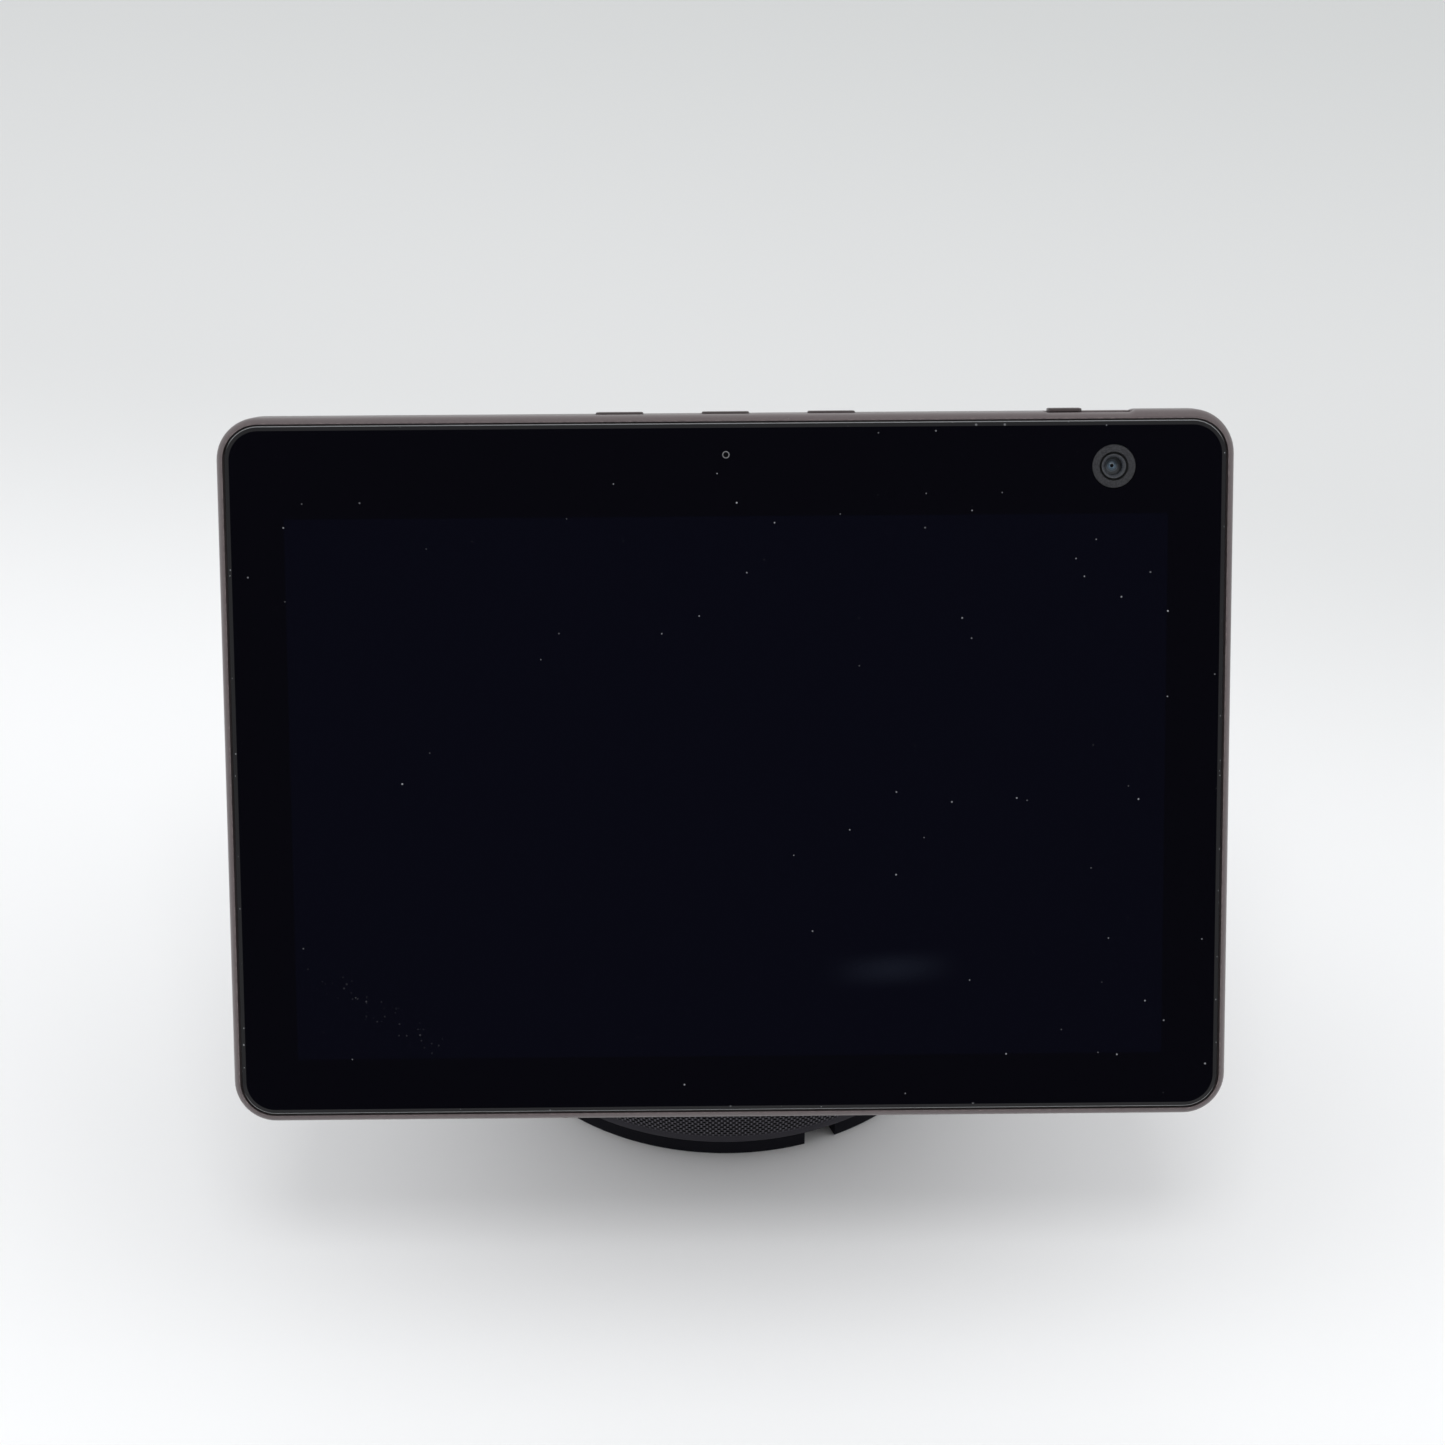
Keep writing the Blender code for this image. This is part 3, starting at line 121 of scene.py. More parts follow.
def arc(width: float, depth: float, steps: int) -> list[Pair]:
    """Gives the offsets of a quarter ellipse that rolls a side over into a face.

    Args:
        width: How far the face starts inside the side.
        depth: How far the side starts behind the face.
        steps: Number of facets.

    Returns:
        Pairs of inset from the side and depth behind the face, from the side to the face.
    """
    turns = [math.pi / 2 * index / steps for index in range(steps + 1)]
    return [(width * (1 - math.cos(turn)), depth * (1 - math.sin(turn))) for turn in turns]


def rounded_outline(width: float, height: float, corner: float, steps: int) -> list[Pair]:
    """Gives the points of a rounded rectangle about the origin.

    Args:
        width: Full width.
        height: Full height.
        corner: Corner radius.
        steps: Facets in each corner.

    Returns:
        Points in order round the outline.
    """
    points: list[Pair] = []
    for quarter, (right, top) in enumerate(((1, 1), (-1, 1), (-1, -1), (1, -1))):
        middle = (right * (width / 2 - corner), top * (height / 2 - corner))
        for index in range(steps + 1):
            turn = math.pi / 2 * (quarter + index / steps)
            points.append((middle[0] + corner * math.cos(turn), middle[1] + corner * math.sin(turn)))
    return points


def circle(axis: Axis, radius: float, along: float, steps: int, at: Pair = (0.0, 0.0)) -> Loop:
    """Gives a round loop across an axis.

    Args:
        axis: The line through its middle.
        radius: Its radius.
        along: Its place on the axis.
        steps: Number of points.
        at: The axis's own place in the other two directions.

    Returns:
        The loop's points.
    """
    turns = [2 * math.pi * index / steps for index in range(steps)]
    return [
        axis.point(at[0] + radius * math.cos(turn), at[1] + radius * math.sin(turn), along)
        for turn in turns
    ]


class Shape:
    """A closed mesh in the making, in the axes of the piece that it becomes."""

    weld: float = 0.0005 * MM

    def __init__(self) -> None:
        """Starts with nothing."""
        self.mesh = bmesh.new()

    def loft(self, loops: Sequence[Loop], wrap: bool = False) -> Shape:
        """Skins a row of loops that have equal counts.

        Args:
            loops: The loops in order.
            wrap: Joins the last loop to the first, where the ends are closed otherwise.

        Returns:
            This shape.
        """
        rows = [[self.mesh.verts.new(point) for point in loop] for loop in loops]
        pairs = list(zip(rows, rows[1:]))
        if wrap:
            pairs.append((rows[-1], rows[0]))
        else:
            self.mesh.faces.new(rows[0])
            self.mesh.faces.new(rows[-1])
        for low, high in pairs:
            for one, two, three, four in zip(low, low[1:] + low[:1], high[1:] + high[:1], high):
                self.mesh.faces.new((one, two, three, four))
        bmesh.ops.remove_doubles(self.mesh, verts=self.mesh.verts, dist=self.weld)
        bmesh.ops.recalc_face_normals(self.mesh, faces=self.mesh.faces)
        return self

    def turned(self, axis: Axis, profile: Sequence[Pair], steps: int, at: Pair = (0.0, 0.0),
               ring: bool = True) -> Shape:
        """Turns a profile about an axis.

        Args:
            axis: The line that it is turned about.
            profile: Pairs of radius and place along the axis.
            steps: Number of points round it.
            at: The axis's place in the other two directions.
            ring: Leaves it open in the middle, where its ends are closed discs otherwise.

        Returns:
            This shape.
        """
        return self.loft([circle(axis, radius, along, steps, at) for radius, along in profile], wrap=ring)

    def block(self, low: Point, high: Point) -> Shape:
        """Adds a box between two corners."""
        outline = [(low[0], low[1]), (high[0], low[1]), (high[0], high[1]), (low[0], high[1])]
        return self.loft([[(x, y, z) for x, y in outline] for z in (low[2], high[2])])

    def moved(self, seat: Matrix) -> Shape:
        """Turns or shifts the whole shape."""
        self.mesh.transform(seat)
        return self

    def finished(self, name: str) -> bpy.types.Mesh:
        """Gives the mesh and drops the working copy.

        Args:
            name: The mesh's name.

        Returns:
            The mesh.
        """
        mesh = bpy.data.meshes.new(name)
        self.mesh.to_mesh(mesh)
        self.mesh.free()
        return mesh


class Graph:
    """Adds and joins the nodes of one shader tree."""

    def __init__(self, tree: bpy.types.NodeTree) -> None:
        """Works on one tree."""
        self.tree = tree

    def add(self, kind: str, **settings: Any) -> bpy.types.Node:
        """Adds a node.

        Args:
            kind: Its type.
            settings: Its properties by name.

        Returns:
            The node.
        """
        node = self.tree.nodes.new(kind)
        for name, value in settings.items():
            setattr(node, name, value)
        return node

    def feed(self, socket: bpy.types.NodeSocket, value: Any) -> None:
        """Joins an output to a socket, or sets the socket's own value.

        Args:
            socket: The socket.
            value: An output or a value.
        """
        if isinstance(value, bpy.types.NodeSocket):
            self.tree.links.new(value, socket)
        else:
            socket.default_value = value

    def math(self, operation: str, *values: Any, clamp: bool = False) -> bpy.types.NodeSocket:
        """Adds a sum of one to three numbers.

        Args:
            operation: The kind of sum.
            values: Outputs or numbers.
            clamp: Keeps the result from 0 to 1.

        Returns:
            The result.
        """
        node = self.add("ShaderNodeMath", operation=operation, use_clamp=clamp)
        for socket, value in zip(node.inputs, values):
            self.feed(socket, value)
        return node.outputs[0]

    def ramp(self, value: Any, start: Any, end: Any, low: float = 0.0,
             high: float = 1.0) -> bpy.types.NodeSocket:
        """Maps a number smoothly from one range to another.

        Args:
            value: The number.
            start: Where the first range starts.
            end: Where it ends.
            low: What the start becomes.
            high: What the end becomes.

        Returns:
            The mapped number.
        """
        node = self.add("ShaderNodeMapRange", interpolation_type="SMOOTHSTEP")
        for socket, given in zip(node.inputs, (value, start, end, low, high)):
            self.feed(socket, given)
        return node.outputs[0]

    def mix(self, factor: Any, first: Any, second: Any) -> bpy.types.NodeSocket:
        """Mixes two colours.

        Args:
            factor: How much of the second shows.
            first: A colour or an output.
            second: A colour or an output.

        Returns:
            The mixed colour.
        """
        node = self.add("ShaderNodeMix", data_type="RGBA")
        self.feed(node.inputs[0], factor)
        for socket, value in ((node.inputs[6], first), (node.inputs[7], second)):
            self.feed(socket, (*value, 1.0) if isinstance(value, tuple) else value)
        return node.outputs[2]

    def place(self) -> bpy.types.NodeSocket:
        """Gives the surface's place in its piece's own axes."""
        return self.add("ShaderNodeTexCoord").outputs["Object"]

    def split(self, vector: Any) -> list[bpy.types.NodeSocket]:
        """Gives the three parts of a vector.

        Args:
            vector: The vector.

        Returns:
            Its parts across, behind and up.
        """
        node = self.add("ShaderNodeSeparateXYZ")
        self.feed(node.inputs[0], vector)
        return list(node.outputs)

    def length(self, first: Any, second: Any) -> bpy.types.NodeSocket:
        """Gives the length of a vector with two parts."""
        squares = self.math("MULTIPLY_ADD", first, first, self.math("MULTIPLY", second, second))
        return self.math("SQRT", squares)

    def scaled(self, vector: Any, scale: Point) -> bpy.types.NodeSocket:
        """Stretches a vector.

        Args:
            vector: The vector.
            scale: How much in each direction.

        Returns:
            The stretched vector.
        """
        node = self.add("ShaderNodeVectorMath", operation="MULTIPLY")
        self.feed(node.inputs[0], vector)
        node.inputs[1].default_value = scale
        return node.outputs[0]

    def noise(self, vector: Any, scale: Any, detail: float = 3.0) -> bpy.types.NodeSocket:
        """Adds cloudy noise.

        Args:
            vector: The place that it is read at.
            scale: How many clouds lie in a metre.
            detail: How many finer layers it has.

        Returns:
            Its strength.
        """
        node = self.add("ShaderNodeTexNoise")
        self.feed(node.inputs["Vector"], vector)
        self.feed(node.inputs["Scale"], scale)
        node.inputs["Detail"].default_value = detail
        return node.outputs[0]

    def effect(self, tree: bpy.types.NodeTree, **inputs: Any) -> bpy.types.bpy_prop_collection:
        """Places a shared effect.

        Args:
            tree: The effect's node group.
            inputs: Outputs or values for its inputs, by name.

        Returns:
            The outputs of the placed group.
        """
        node = self.add("ShaderNodeGroup", node_tree=tree)
        for name, value in inputs.items():
            self.feed(node.inputs[name], value)
        return node.outputs

    def scatter(self, dust: bpy.types.NodeTree, place: Any, amount: Any, scale: float,
                size: float) -> bpy.types.NodeSocket:
        """Places the dust effect and gives its mask.

        Args:
            dust: The effect's node group.
            place: The surface's place.
            amount: The share of cells that hold a speck.
            scale: How many cells lie in a metre.
            size: The largest speck's share of its cell.

        Returns:
            The mask.
        """
        return self.effect(dust, Vector=place, Scale=scale, Amount=amount, Size=size)["Mask"]

    def relief(self, height: Any, depth: float) -> bpy.types.NodeSocket:
        """Turns a height into a bumped normal.

        Args:
            height: The height from 0 to 1.
            depth: What a height of 1 measures, in metres.

        Returns:
            The normal.
        """
        node = self.add("ShaderNodeBump")
        node.inputs["Strength"].default_value = 1.0
        node.inputs["Distance"].default_value = depth
        self.feed(node.inputs["Height"], height)
        return node.outputs[0]


class EffectLibrary:
    """The shared surface effects as shader node groups, each built once."""

    def __init__(self) -> None:
        """Starts with no group built."""
        self.trees: dict[Effect, bpy.types.NodeTree] = {}
        self.builders: dict[Effect, Callable[[], bpy.types.NodeTree]] = {
            Effect.GRAIN: self.grain,
            Effect.DUST: self.dust,
            Effect.WEAR: self.wear,
            Effect.SMUDGE: self.smudge,
            Effect.LAY: self.lay,
        }

    def __getitem__(self, effect: Effect) -> bpy.types.NodeTree:
        """Gives the node group of an effect.

        Args:
            effect: The effect.

        Returns:
            Its group, built when it is first asked for.
        """
        if effect not in self.trees:
            self.trees[effect] = self.builders[effect]()
        return self.trees[effect]

    @staticmethod
    def opened(effect: Effect, values: dict[str, float], results: Iterable[str]) -> tuple[Graph, Any, Any]:
        """Starts a node group that reads a place and some values.

        Args:
            effect: The effect that it makes.
            values: Default values of its number inputs, by name.
            results: Names of its outputs.

        Returns:
            The group's graph, its input sockets and its output sockets.
        """
        tree = bpy.data.node_groups.new(effect.value, "ShaderNodeTree")
        tree.interface.new_socket("Vector", in_out="INPUT", socket_type="NodeSocketVector")
        for name, value in values.items():
            socket = tree.interface.new_socket(name, in_out="INPUT", socket_type="NodeSocketFloat")
            socket.default_value = value
        for name in results:
            tree.interface.new_socket(name, in_out="OUTPUT", socket_type="NodeSocketFloat")
        graph = Graph(tree)
        return graph, graph.add("NodeGroupInput").outputs, graph.add("NodeGroupOutput").inputs

    def grain(self) -> bpy.types.NodeTree:
        """Builds moulded grain: a soft shade and a finer height.

        Returns:
            The group.
        """
        finer, smooth = 2.6, 2.0
        graph, given, made = self.opened(Effect.GRAIN, {"Scale": 1500.0}, ("Shade", "Height"))
        graph.feed(made["Shade"], graph.noise(given["Vector"], given["Scale"]))
        fine = graph.math("MULTIPLY", given["Scale"], finer)
        graph.feed(made["Height"], graph.noise(given["Vector"], fine, smooth))
        return graph.tree

    def dust(self) -> bpy.types.NodeTree:
        """Builds scattered specks of unlike size.

        Returns:
            The group.
        """
        smallest, faintest, hardness = 0.3, 0.25, 2.5
        values = {"Scale": 200.0, "Amount": 0.2, "Size": 0.05}
        graph, given, made = self.opened(Effect.DUST, values, ("Mask",))
        cells = graph.add("ShaderNodeTexVoronoi")
        graph.feed(cells.inputs["Vector"], given["Vector"])
        graph.feed(cells.inputs["Scale"], given["Scale"])
        parts = graph.add("ShaderNodeSeparateColor")
        graph.feed(parts.inputs[0], cells.outputs["Color"])
        chosen = graph.math("LESS_THAN", parts.outputs[0], given["Amount"])
        reach = graph.math("MULTIPLY", given["Size"], graph.math("ADD", parts.outputs[1], smallest))
        far = graph.math("DIVIDE", cells.outputs["Distance"], reach)
        speck = graph.math("MULTIPLY_ADD", far, -hardness, hardness, clamp=True)
        faint = graph.math("MULTIPLY_ADD", parts.outputs[2], 1 - faintest, faintest)
        graph.feed(made["Mask"], graph.math("MULTIPLY", graph.math("MULTIPLY", chosen, speck), faint))
        return graph.tree

    def wear(self) -> bpy.types.NodeTree:
        """Builds a mask of rubbed edges, which the moulded finishes lighten as wear and as painted
        highlight, broken up along their length and left out of grooves.

        Returns:
            The group.
        """
        corner, patches, unshaded = (0.995, 0.86), (0.35, 0.7), (0.55, 0.92)
        reach, rays = 1.5 * MM, 4
        graph, given, made = self.opened(Effect.WEAR, {"Radius": 0.0005, "Scale": 700.0}, ("Mask",))
        soft = graph.add("ShaderNodeBevel", samples=rays)
        graph.feed(soft.inputs["Radius"], given["Radius"])
        hard = graph.add("ShaderNodeNewGeometry").outputs["Normal"]
        turn = graph.add("ShaderNodeVectorMath", operation="DOT_PRODUCT")
        graph.feed(turn.inputs[0], soft.outputs[0])
        graph.feed(turn.inputs[1], hard)
        edge = graph.ramp(turn.outputs["Value"], *corner)
        broken = graph.ramp(graph.noise(given["Vector"], given["Scale"]), *patches)
        nearby = graph.add("ShaderNodeAmbientOcclusion", samples=rays)
        nearby.inputs["Distance"].default_value = reach
        bare = graph.ramp(nearby.outputs["AO"], *unshaded)
        graph.feed(made["Mask"], graph.math("MULTIPLY", graph.math("MULTIPLY", edge, broken), bare))
        return graph.tree

    def smudge(self) -> bpy.types.NodeTree:
        """Builds wide soft marks left by touch.

        Returns:
            The group.
        """
        ragged, patches = 5.0, (0.42, 0.74)
        graph, given, made = self.opened(Effect.SMUDGE, {"Scale": 30.0}, ("Mask",))
        cloud = graph.noise(given["Vector"], given["Scale"], ragged)
        graph.feed(made["Mask"], graph.ramp(cloud, *patches))
        return graph.tree

    def lay(self) -> bpy.types.NodeTree:
        """Builds the fine parallel lines that a tool or a roller leaves.

        Returns:
            The group.
        """
        line, broad, smooth = (0.04, 1.0, 1.0), 60.0, 2.0
        graph, given, made = self.opened(Effect.LAY, {"Scale": 1500.0}, ("Shade", "Height"))
        drawn = graph.scaled(given["Vector"], line)
        graph.feed(made["Shade"], graph.noise(given["Vector"], broad))
        graph.feed(made["Height"], graph.noise(drawn, given["Scale"], smooth))
        return graph.tree


class Finish(Protocol):
    """What a piece is finished with."""

    name: str
    slot: str

    def paint(self, graph: Graph, shader: bpy.types.Node, effects: EffectLibrary) -> None:
        """Sets up the shader of a new material."""


@dataclass(frozen=True)
class MouldedFinish:
    """Moulded plastic or rubber: fine grain, edges lightened as wear and as painted highlight, a little
    dust.
    """

    name: str
    slot: str
    colour: Colour
    roughness: float
    gloss: float = 0.5
    grain: float = 1500.0
    mottle: float = 0.14
    depth: float = 0.012 * MM
    worn_and_highlit: float = 1.9
    worn_least: float = 0.006
    dust: float = 0.05
    speck: Colour = (0.42, 0.41, 0.40)
    speck_cells: Pair = (260.0, 0.09)
    matte_spread: float = 0.10
    matte_drop: float = 0.03
    touch_scale: float = 45.0
    touch_polish: float = 0.04

    def paint(self, graph: Graph, shader: bpy.types.Node, effects: EffectLibrary) -> None:
        """Grains the colour, lightens the edges as wear and as painted highlight, and scatters specks.

        Args:
            graph: The material's graph.
            shader: Its Principled shader.
            effects: The shared effects.
        """
        place = graph.place()
        grain = graph.effect(effects[Effect.GRAIN], Vector=place, Scale=self.grain)
        edge = graph.effect(effects[Effect.WEAR], Vector=place)["Mask"]
        speck = graph.scatter(effects[Effect.DUST], place, self.dust, *self.speck_cells)
        smudge = graph.effect(effects[Effect.SMUDGE], Vector=place, Scale=self.touch_scale)["Mask"]
        # Edges lighten partly as real wear and partly as painted highlight along them.
        wear_and_highlight = tuple(min(1.0, self.worn_and_highlit * part + self.worn_least) for part in self.colour)
        body = graph.mix(
            grain["Shade"], shade(self.colour, 1 - self.mottle), shade(self.colour, 1 + self.mottle))
        body = graph.mix(edge, body, wear_and_highlight)
        body = graph.mix(speck, body, self.speck)
        graph.feed(shader.inputs["Base Color"], body)
        least = self.roughness - self.matte_drop
        matte = graph.math("MULTIPLY_ADD", grain["Shade"], self.matte_spread, least)
        matte = graph.math("MULTIPLY_ADD", smudge, -self.touch_polish, matte)
        graph.feed(shader.inputs["Roughness"], matte)
        graph.feed(shader.inputs["Normal"], graph.relief(grain["Height"], self.depth))
        shader.inputs["Specular IOR Level"].default_value = self.gloss


@dataclass(frozen=True)
class GlassFinish:
    """The cover glass, printed black behind, with the unlit screen showing a shade bluer."""

    name: str
    slot: str
    border: Colour = (0.0020, 0.0018, 0.0034)
    screen: Colour = (0.0024, 0.0024, 0.0058)
    chip: Colour = (0.40, 0.41, 0.43)
    # The ground arris colour: partly a frosted edge, partly a painted glint.
    ground: Colour = (0.36, 0.37, 0.38)
    speck: Colour = (0.40, 0.41, 0.44)
    film: Colour = (0.16, 0.20, 0.30)
    gloss: float = 0.26
    screen_width: float = 218.1 * MM
    screen_height: float = 136.3 * MM
    screen_drop: float = 4.4 * MM
    screen_blur: float = 0.15 * MM
    flat_width: float = 244.0 * MM
    flat_height: float = 170.6 * MM
    flat_blur: float = 0.1 * MM
    arris: Pair = (0.38 * MM, 0.45 * MM)
    arris_glint_span: Pair = (0.94, 0.99)
    arris_glint_at_sides: float = 0.06
    touch: tuple[Pair, Pair] = ((22.0 * MM, -51.5 * MM), (60.0 * MM, -49.5 * MM))
    touch_half: float = 5.5 * MM
    touch_film: float = 0.03
    trail: tuple[Pair, Pair] = ((-112.0 * MM, -45.0 * MM), (-66.0 * MM, -75.0 * MM))
    trail_half: float = 4.2 * MM
    trail_film: float = 0.20
    grit_share: float = 0.60
    grit_cells: Pair = (1100.0, 0.26)
    crowd_across: Pair = (10.0 * MM, 122.0 * MM)
    crowd_up: Pair = (-30.0 * MM, 85.0 * MM)
    large_share: Pair = (0.06, 0.035)
    large_cells: Pair = (150.0, 0.036)
    small_share: Pair = (0.17, 0.030)
    small_cells: Pair = (430.0, 0.088)
    speck_cover: float = 0.8
    speck_height: float = 0.02 * MM
    nick_share: float = 0.20
    nick_cells: Pair = (700.0, 0.24)
    smear_scale: float = 24.0
    smear_matte: Pair = (0.03, 0.035)
    rough_gain: float = 0.5

    @staticmethod
    def inside(graph: Graph, along: Any, half: float, soft: float) -> bpy.types.NodeSocket:
        """Gives 1 within a distance of zero and 0 beyond it."""
        return graph.ramp(graph.math("ABSOLUTE", along), half + soft, half - soft)

    def streak(self, graph: Graph, x: Any, z: Any, ends: tuple[Pair, Pair],
               half: float) -> bpy.types.NodeSocket:
        """Masks a soft band between two points of the panel.

        Args:
            graph: The material's graph.
            x: The surface's place across.
            z: The surface's place up.
            ends: Its two ends, from the panel's middle.
            half: Half the band's width.

        Returns:
            The mask.
        """
        start, end = ends
        way = Vector((end[0] - start[0], end[1] - start[1]))
        middle = ((start[0] + end[0]) / 2, (start[1] + end[1]) / 2)
        turn = way.normalized()
        right, up = graph.math("SUBTRACT", x, middle[0]), graph.math("SUBTRACT", z, middle[1])
        along = graph.math("MULTIPLY_ADD", right, turn.x, graph.math("MULTIPLY", up, turn.y))
        across = graph.math("MULTIPLY_ADD", up, turn.x, graph.math("MULTIPLY", right, -turn.y))
        long = self.inside(graph, along, way.length / 4, way.length / 4)
        return graph.math("MULTIPLY", long, self.inside(graph, across, half / 2, half / 2))

    def paint(self, graph: Graph, shader: bpy.types.Node, effects: EffectLibrary) -> None:
        """Prints the border, dims the screen and adds specks, touch marks, edge chips and a pale ground
        arris that carries a painted glint along the top and bottom.

        Args:
            graph: The material's graph.
            shader: Its Principled shader.
            effects: The shared effects.
        """
        place = graph.place()
        x, behind, z = graph.split(place)
        wide = self.inside(graph, x, self.screen_width / 2, self.screen_blur)
        lowered = graph.math("ADD", z, self.screen_drop)
        tall = self.inside(graph, lowered, self.screen_height / 2, self.screen_blur)
        body = graph.mix(graph.math("MULTIPLY", wide, tall), self.border, self.screen)
        touch = self.streak(graph, x, z, self.touch, self.touch_half)
        body = graph.mix(graph.math("MULTIPLY", touch, self.touch_film), body, self.film)
        specks = self.specks(graph, effects, place)
        body = graph.mix(graph.math("MULTIPLY", specks, self.speck_cover), body, self.speck)
        chips = self.chips(graph, effects, place)
        body = graph.mix(chips, body, self.chip)
        # Painted highlight: the ground arris is pale, partly as a frosted edge and partly as a painted
        # glint, full along the top and bottom and faint at the sides.
        near, far = (share * self.flat_height / 2 for share in self.arris_glint_span)
        wear_and_highlight = graph.ramp(graph.math("ABSOLUTE", z), near, far, self.arris_glint_at_sides, 1.0)
        edge = graph.math("MULTIPLY", graph.ramp(behind, *self.arris), wear_and_highlight)
        body = graph.mix(edge, body, self.ground)
        graph.feed(shader.inputs["Base Color"], body)
        matte = graph.math("MAXIMUM", graph.math("MAXIMUM", specks, chips), edge)
        smear = graph.effect(effects[Effect.SMUDGE], Vector=place, Scale=self.smear_scale)["Mask"]
        sheen = graph.math("MULTIPLY_ADD", smear, *self.smear_matte)
        matte = graph.math("MULTIPLY_ADD", matte, self.rough_gain, sheen)
        graph.feed(shader.inputs["Roughness"], matte)
        raised = graph.math("MAXIMUM", specks, chips)
        graph.feed(shader.inputs["Normal"], graph.relief(raised, self.speck_height))
        shader.inputs["Specular IOR Level"].default_value = self.gloss

    def specks(self, graph: Graph, effects: EffectLibrary, place: Any) -> bpy.types.NodeSocket:
        """Scatters dust over the face, thicker to the upper right, with one rubbed trail.

        Args:
            graph: The material's graph.
            effects: The shared effects.
            place: The surface's place in the panel's axes.

        Returns:
            The mask.
        """
        x, _, z = graph.split(place)
        crowd = graph.math("ADD", graph.ramp(x, *self.crowd_across), graph.ramp(z, *self.crowd_up))
        some = graph.math("MULTIPLY_ADD", crowd, *self.large_share)
        many = graph.math("MULTIPLY_ADD", crowd, *self.small_share)
        dust = effects[Effect.DUST]
        large = graph.scatter(dust, place, some, *self.large_cells)
        small = graph.scatter(dust, place, many, *self.small_cells)
        trail = self.streak(graph, x, z, self.trail, self.trail_half)
        grit = graph.scatter(dust, place, self.grit_share, *self.grit_cells)
        trailed = graph.math("MULTIPLY", graph.math("MULTIPLY", trail, grit), self.trail_film)
        return graph.math("MAXIMUM", graph.math("MAXIMUM", large, small), trailed, clamp=True)

    def chips(self, graph: Graph, effects: EffectLibrary, place: Any) -> bpy.types.NodeSocket:
        """Nicks the ground edge here and there.

        Args:
            graph: The material's graph.
            effects: The shared effects.
            place: The surface's place in the panel's axes.

        Returns:
            The mask.
        """
        x, _, z = graph.split(place)
        flat = graph.math(
            "MULTIPLY", self.inside(graph, x, self.flat_width / 2, self.flat_blur),
            self.inside(graph, z, self.flat_height / 2, self.flat_blur))
        nick = graph.scatter(effects[Effect.DUST], place, self.nick_share, *self.nick_cells)
        return graph.math("MULTIPLY", graph.math("SUBTRACT", 1.0, flat), nick)


@dataclass(frozen=True)
class KnitFinish:
    """A tight open knit drawn round the speaker: staggered small holes between twisted yarns, with painted
    highlight on the loop crests and painted shade in the holes.
    """

    name: str
    slot: str
    yarn: Colour = (0.040, 0.038, 0.046)
    # Painted highlight on the loop crests.
    crest: Colour = (0.285, 0.275, 0.312)
    # Painted shade filling the holes.
    hole: Colour = (0.0006, 0.0006, 0.0010)
    lint: Colour = (0.30, 0.30, 0.30)
    columns: int = 270
    row: float = 0.80 * MM
    pitch: float = 1.652 * MM
    squash: float = 1.2
    opening: float = 0.62 * MM
    opening_core: float = 0.5
    crest_reach: float = 0.45
    hem: Pair = (7.3 * MM, 9.4 * MM)
    fibre_scale: float = 2600.0
    fibre_stretch: Point = (1.0, 1.0, 2.2)
    fibre_height: float = 0.25
    patch_scale: float = 420.0
    patch_share: float = 0.4
    lint_share: float = 0.05
    lint_cells: Pair = (330.0, 0.10)
    matte: Pair = (0.2, 0.75)
    depth: float = 0.16 * MM
    sheen: float = 0.03
    gloss: float = 0.10

    def paint(self, graph: Graph, shader: bpy.types.Node, effects: EffectLibrary) -> None:
        """Lays the loops round the axis, row by row, and leaves the hem plain.

        Args:
            graph: The material's graph.
            shader: Its Principled shader.
            effects: The shared effects.
        """
        place = graph.place()
        x, y, z = graph.split(place)
        turn = graph.math("ARCTAN2", y, x)
        round_it = graph.math("MULTIPLY", turn, self.columns / (2 * math.pi))
        rows = graph.math("DIVIDE", z, self.row)
        odd = graph.math("FLOORED_MODULO", graph.math("FLOOR", rows), 2.0)
        shifted = graph.math("MULTIPLY_ADD", odd, 0.5, round_it)
        across = graph.math("SUBTRACT", graph.math("FRACT", shifted), 0.5)
        along = graph.math("SUBTRACT", graph.math("FRACT", rows), 0.5)
        wide = graph.math("MULTIPLY", across, self.pitch)
        tall = graph.math("MULTIPLY", along, self.squash * self.row)
        far = graph.length(wide, tall)
        open_part = graph.ramp(z, *self.hem)
        core = self.opening_core * self.opening
        gap = graph.math("MULTIPLY", graph.ramp(far, self.opening, core), open_part)
        fibre = graph.noise(graph.scaled(place, self.fibre_stretch), self.fibre_scale)
        crest = self.crest_reach * self.pitch
        swell_and_highlight = graph.math("MULTIPLY", graph.ramp(far, self.opening, crest), open_part)
        patch = graph.effect(effects[Effect.GRAIN], Vector=place, Scale=self.patch_scale)["Shade"]
        # Painted highlight: each loop's crest is lightened towards the pale crest colour.
        body = graph.mix(graph.math("MULTIPLY", swell_and_highlight, fibre), self.yarn, self.crest)
        body = graph.mix(graph.math("MULTIPLY", patch, self.patch_share), body, self.yarn)
        # Painted shade: the holes are filled with a near-black colour.
        body = graph.mix(gap, body, self.hole)
        lint = graph.scatter(effects[Effect.DUST], place, self.lint_share, *self.lint_cells)
        body = graph.mix(lint, body, self.lint)
        graph.feed(shader.inputs["Base Color"], body)
        graph.feed(shader.inputs["Roughness"], graph.math("MULTIPLY_ADD", fibre, *self.matte))
        thread = graph.math("MULTIPLY_ADD", fibre, self.fibre_height, swell_and_highlight)
        height = graph.math("SUBTRACT", thread, gap)
        graph.feed(shader.inputs["Normal"], graph.relief(height, self.depth))
        shader.inputs["Sheen Weight"].default_value = self.sheen
        shader.inputs["Sheen Roughness"].default_value = 0.5
        shader.inputs["Specular IOR Level"].default_value = self.gloss


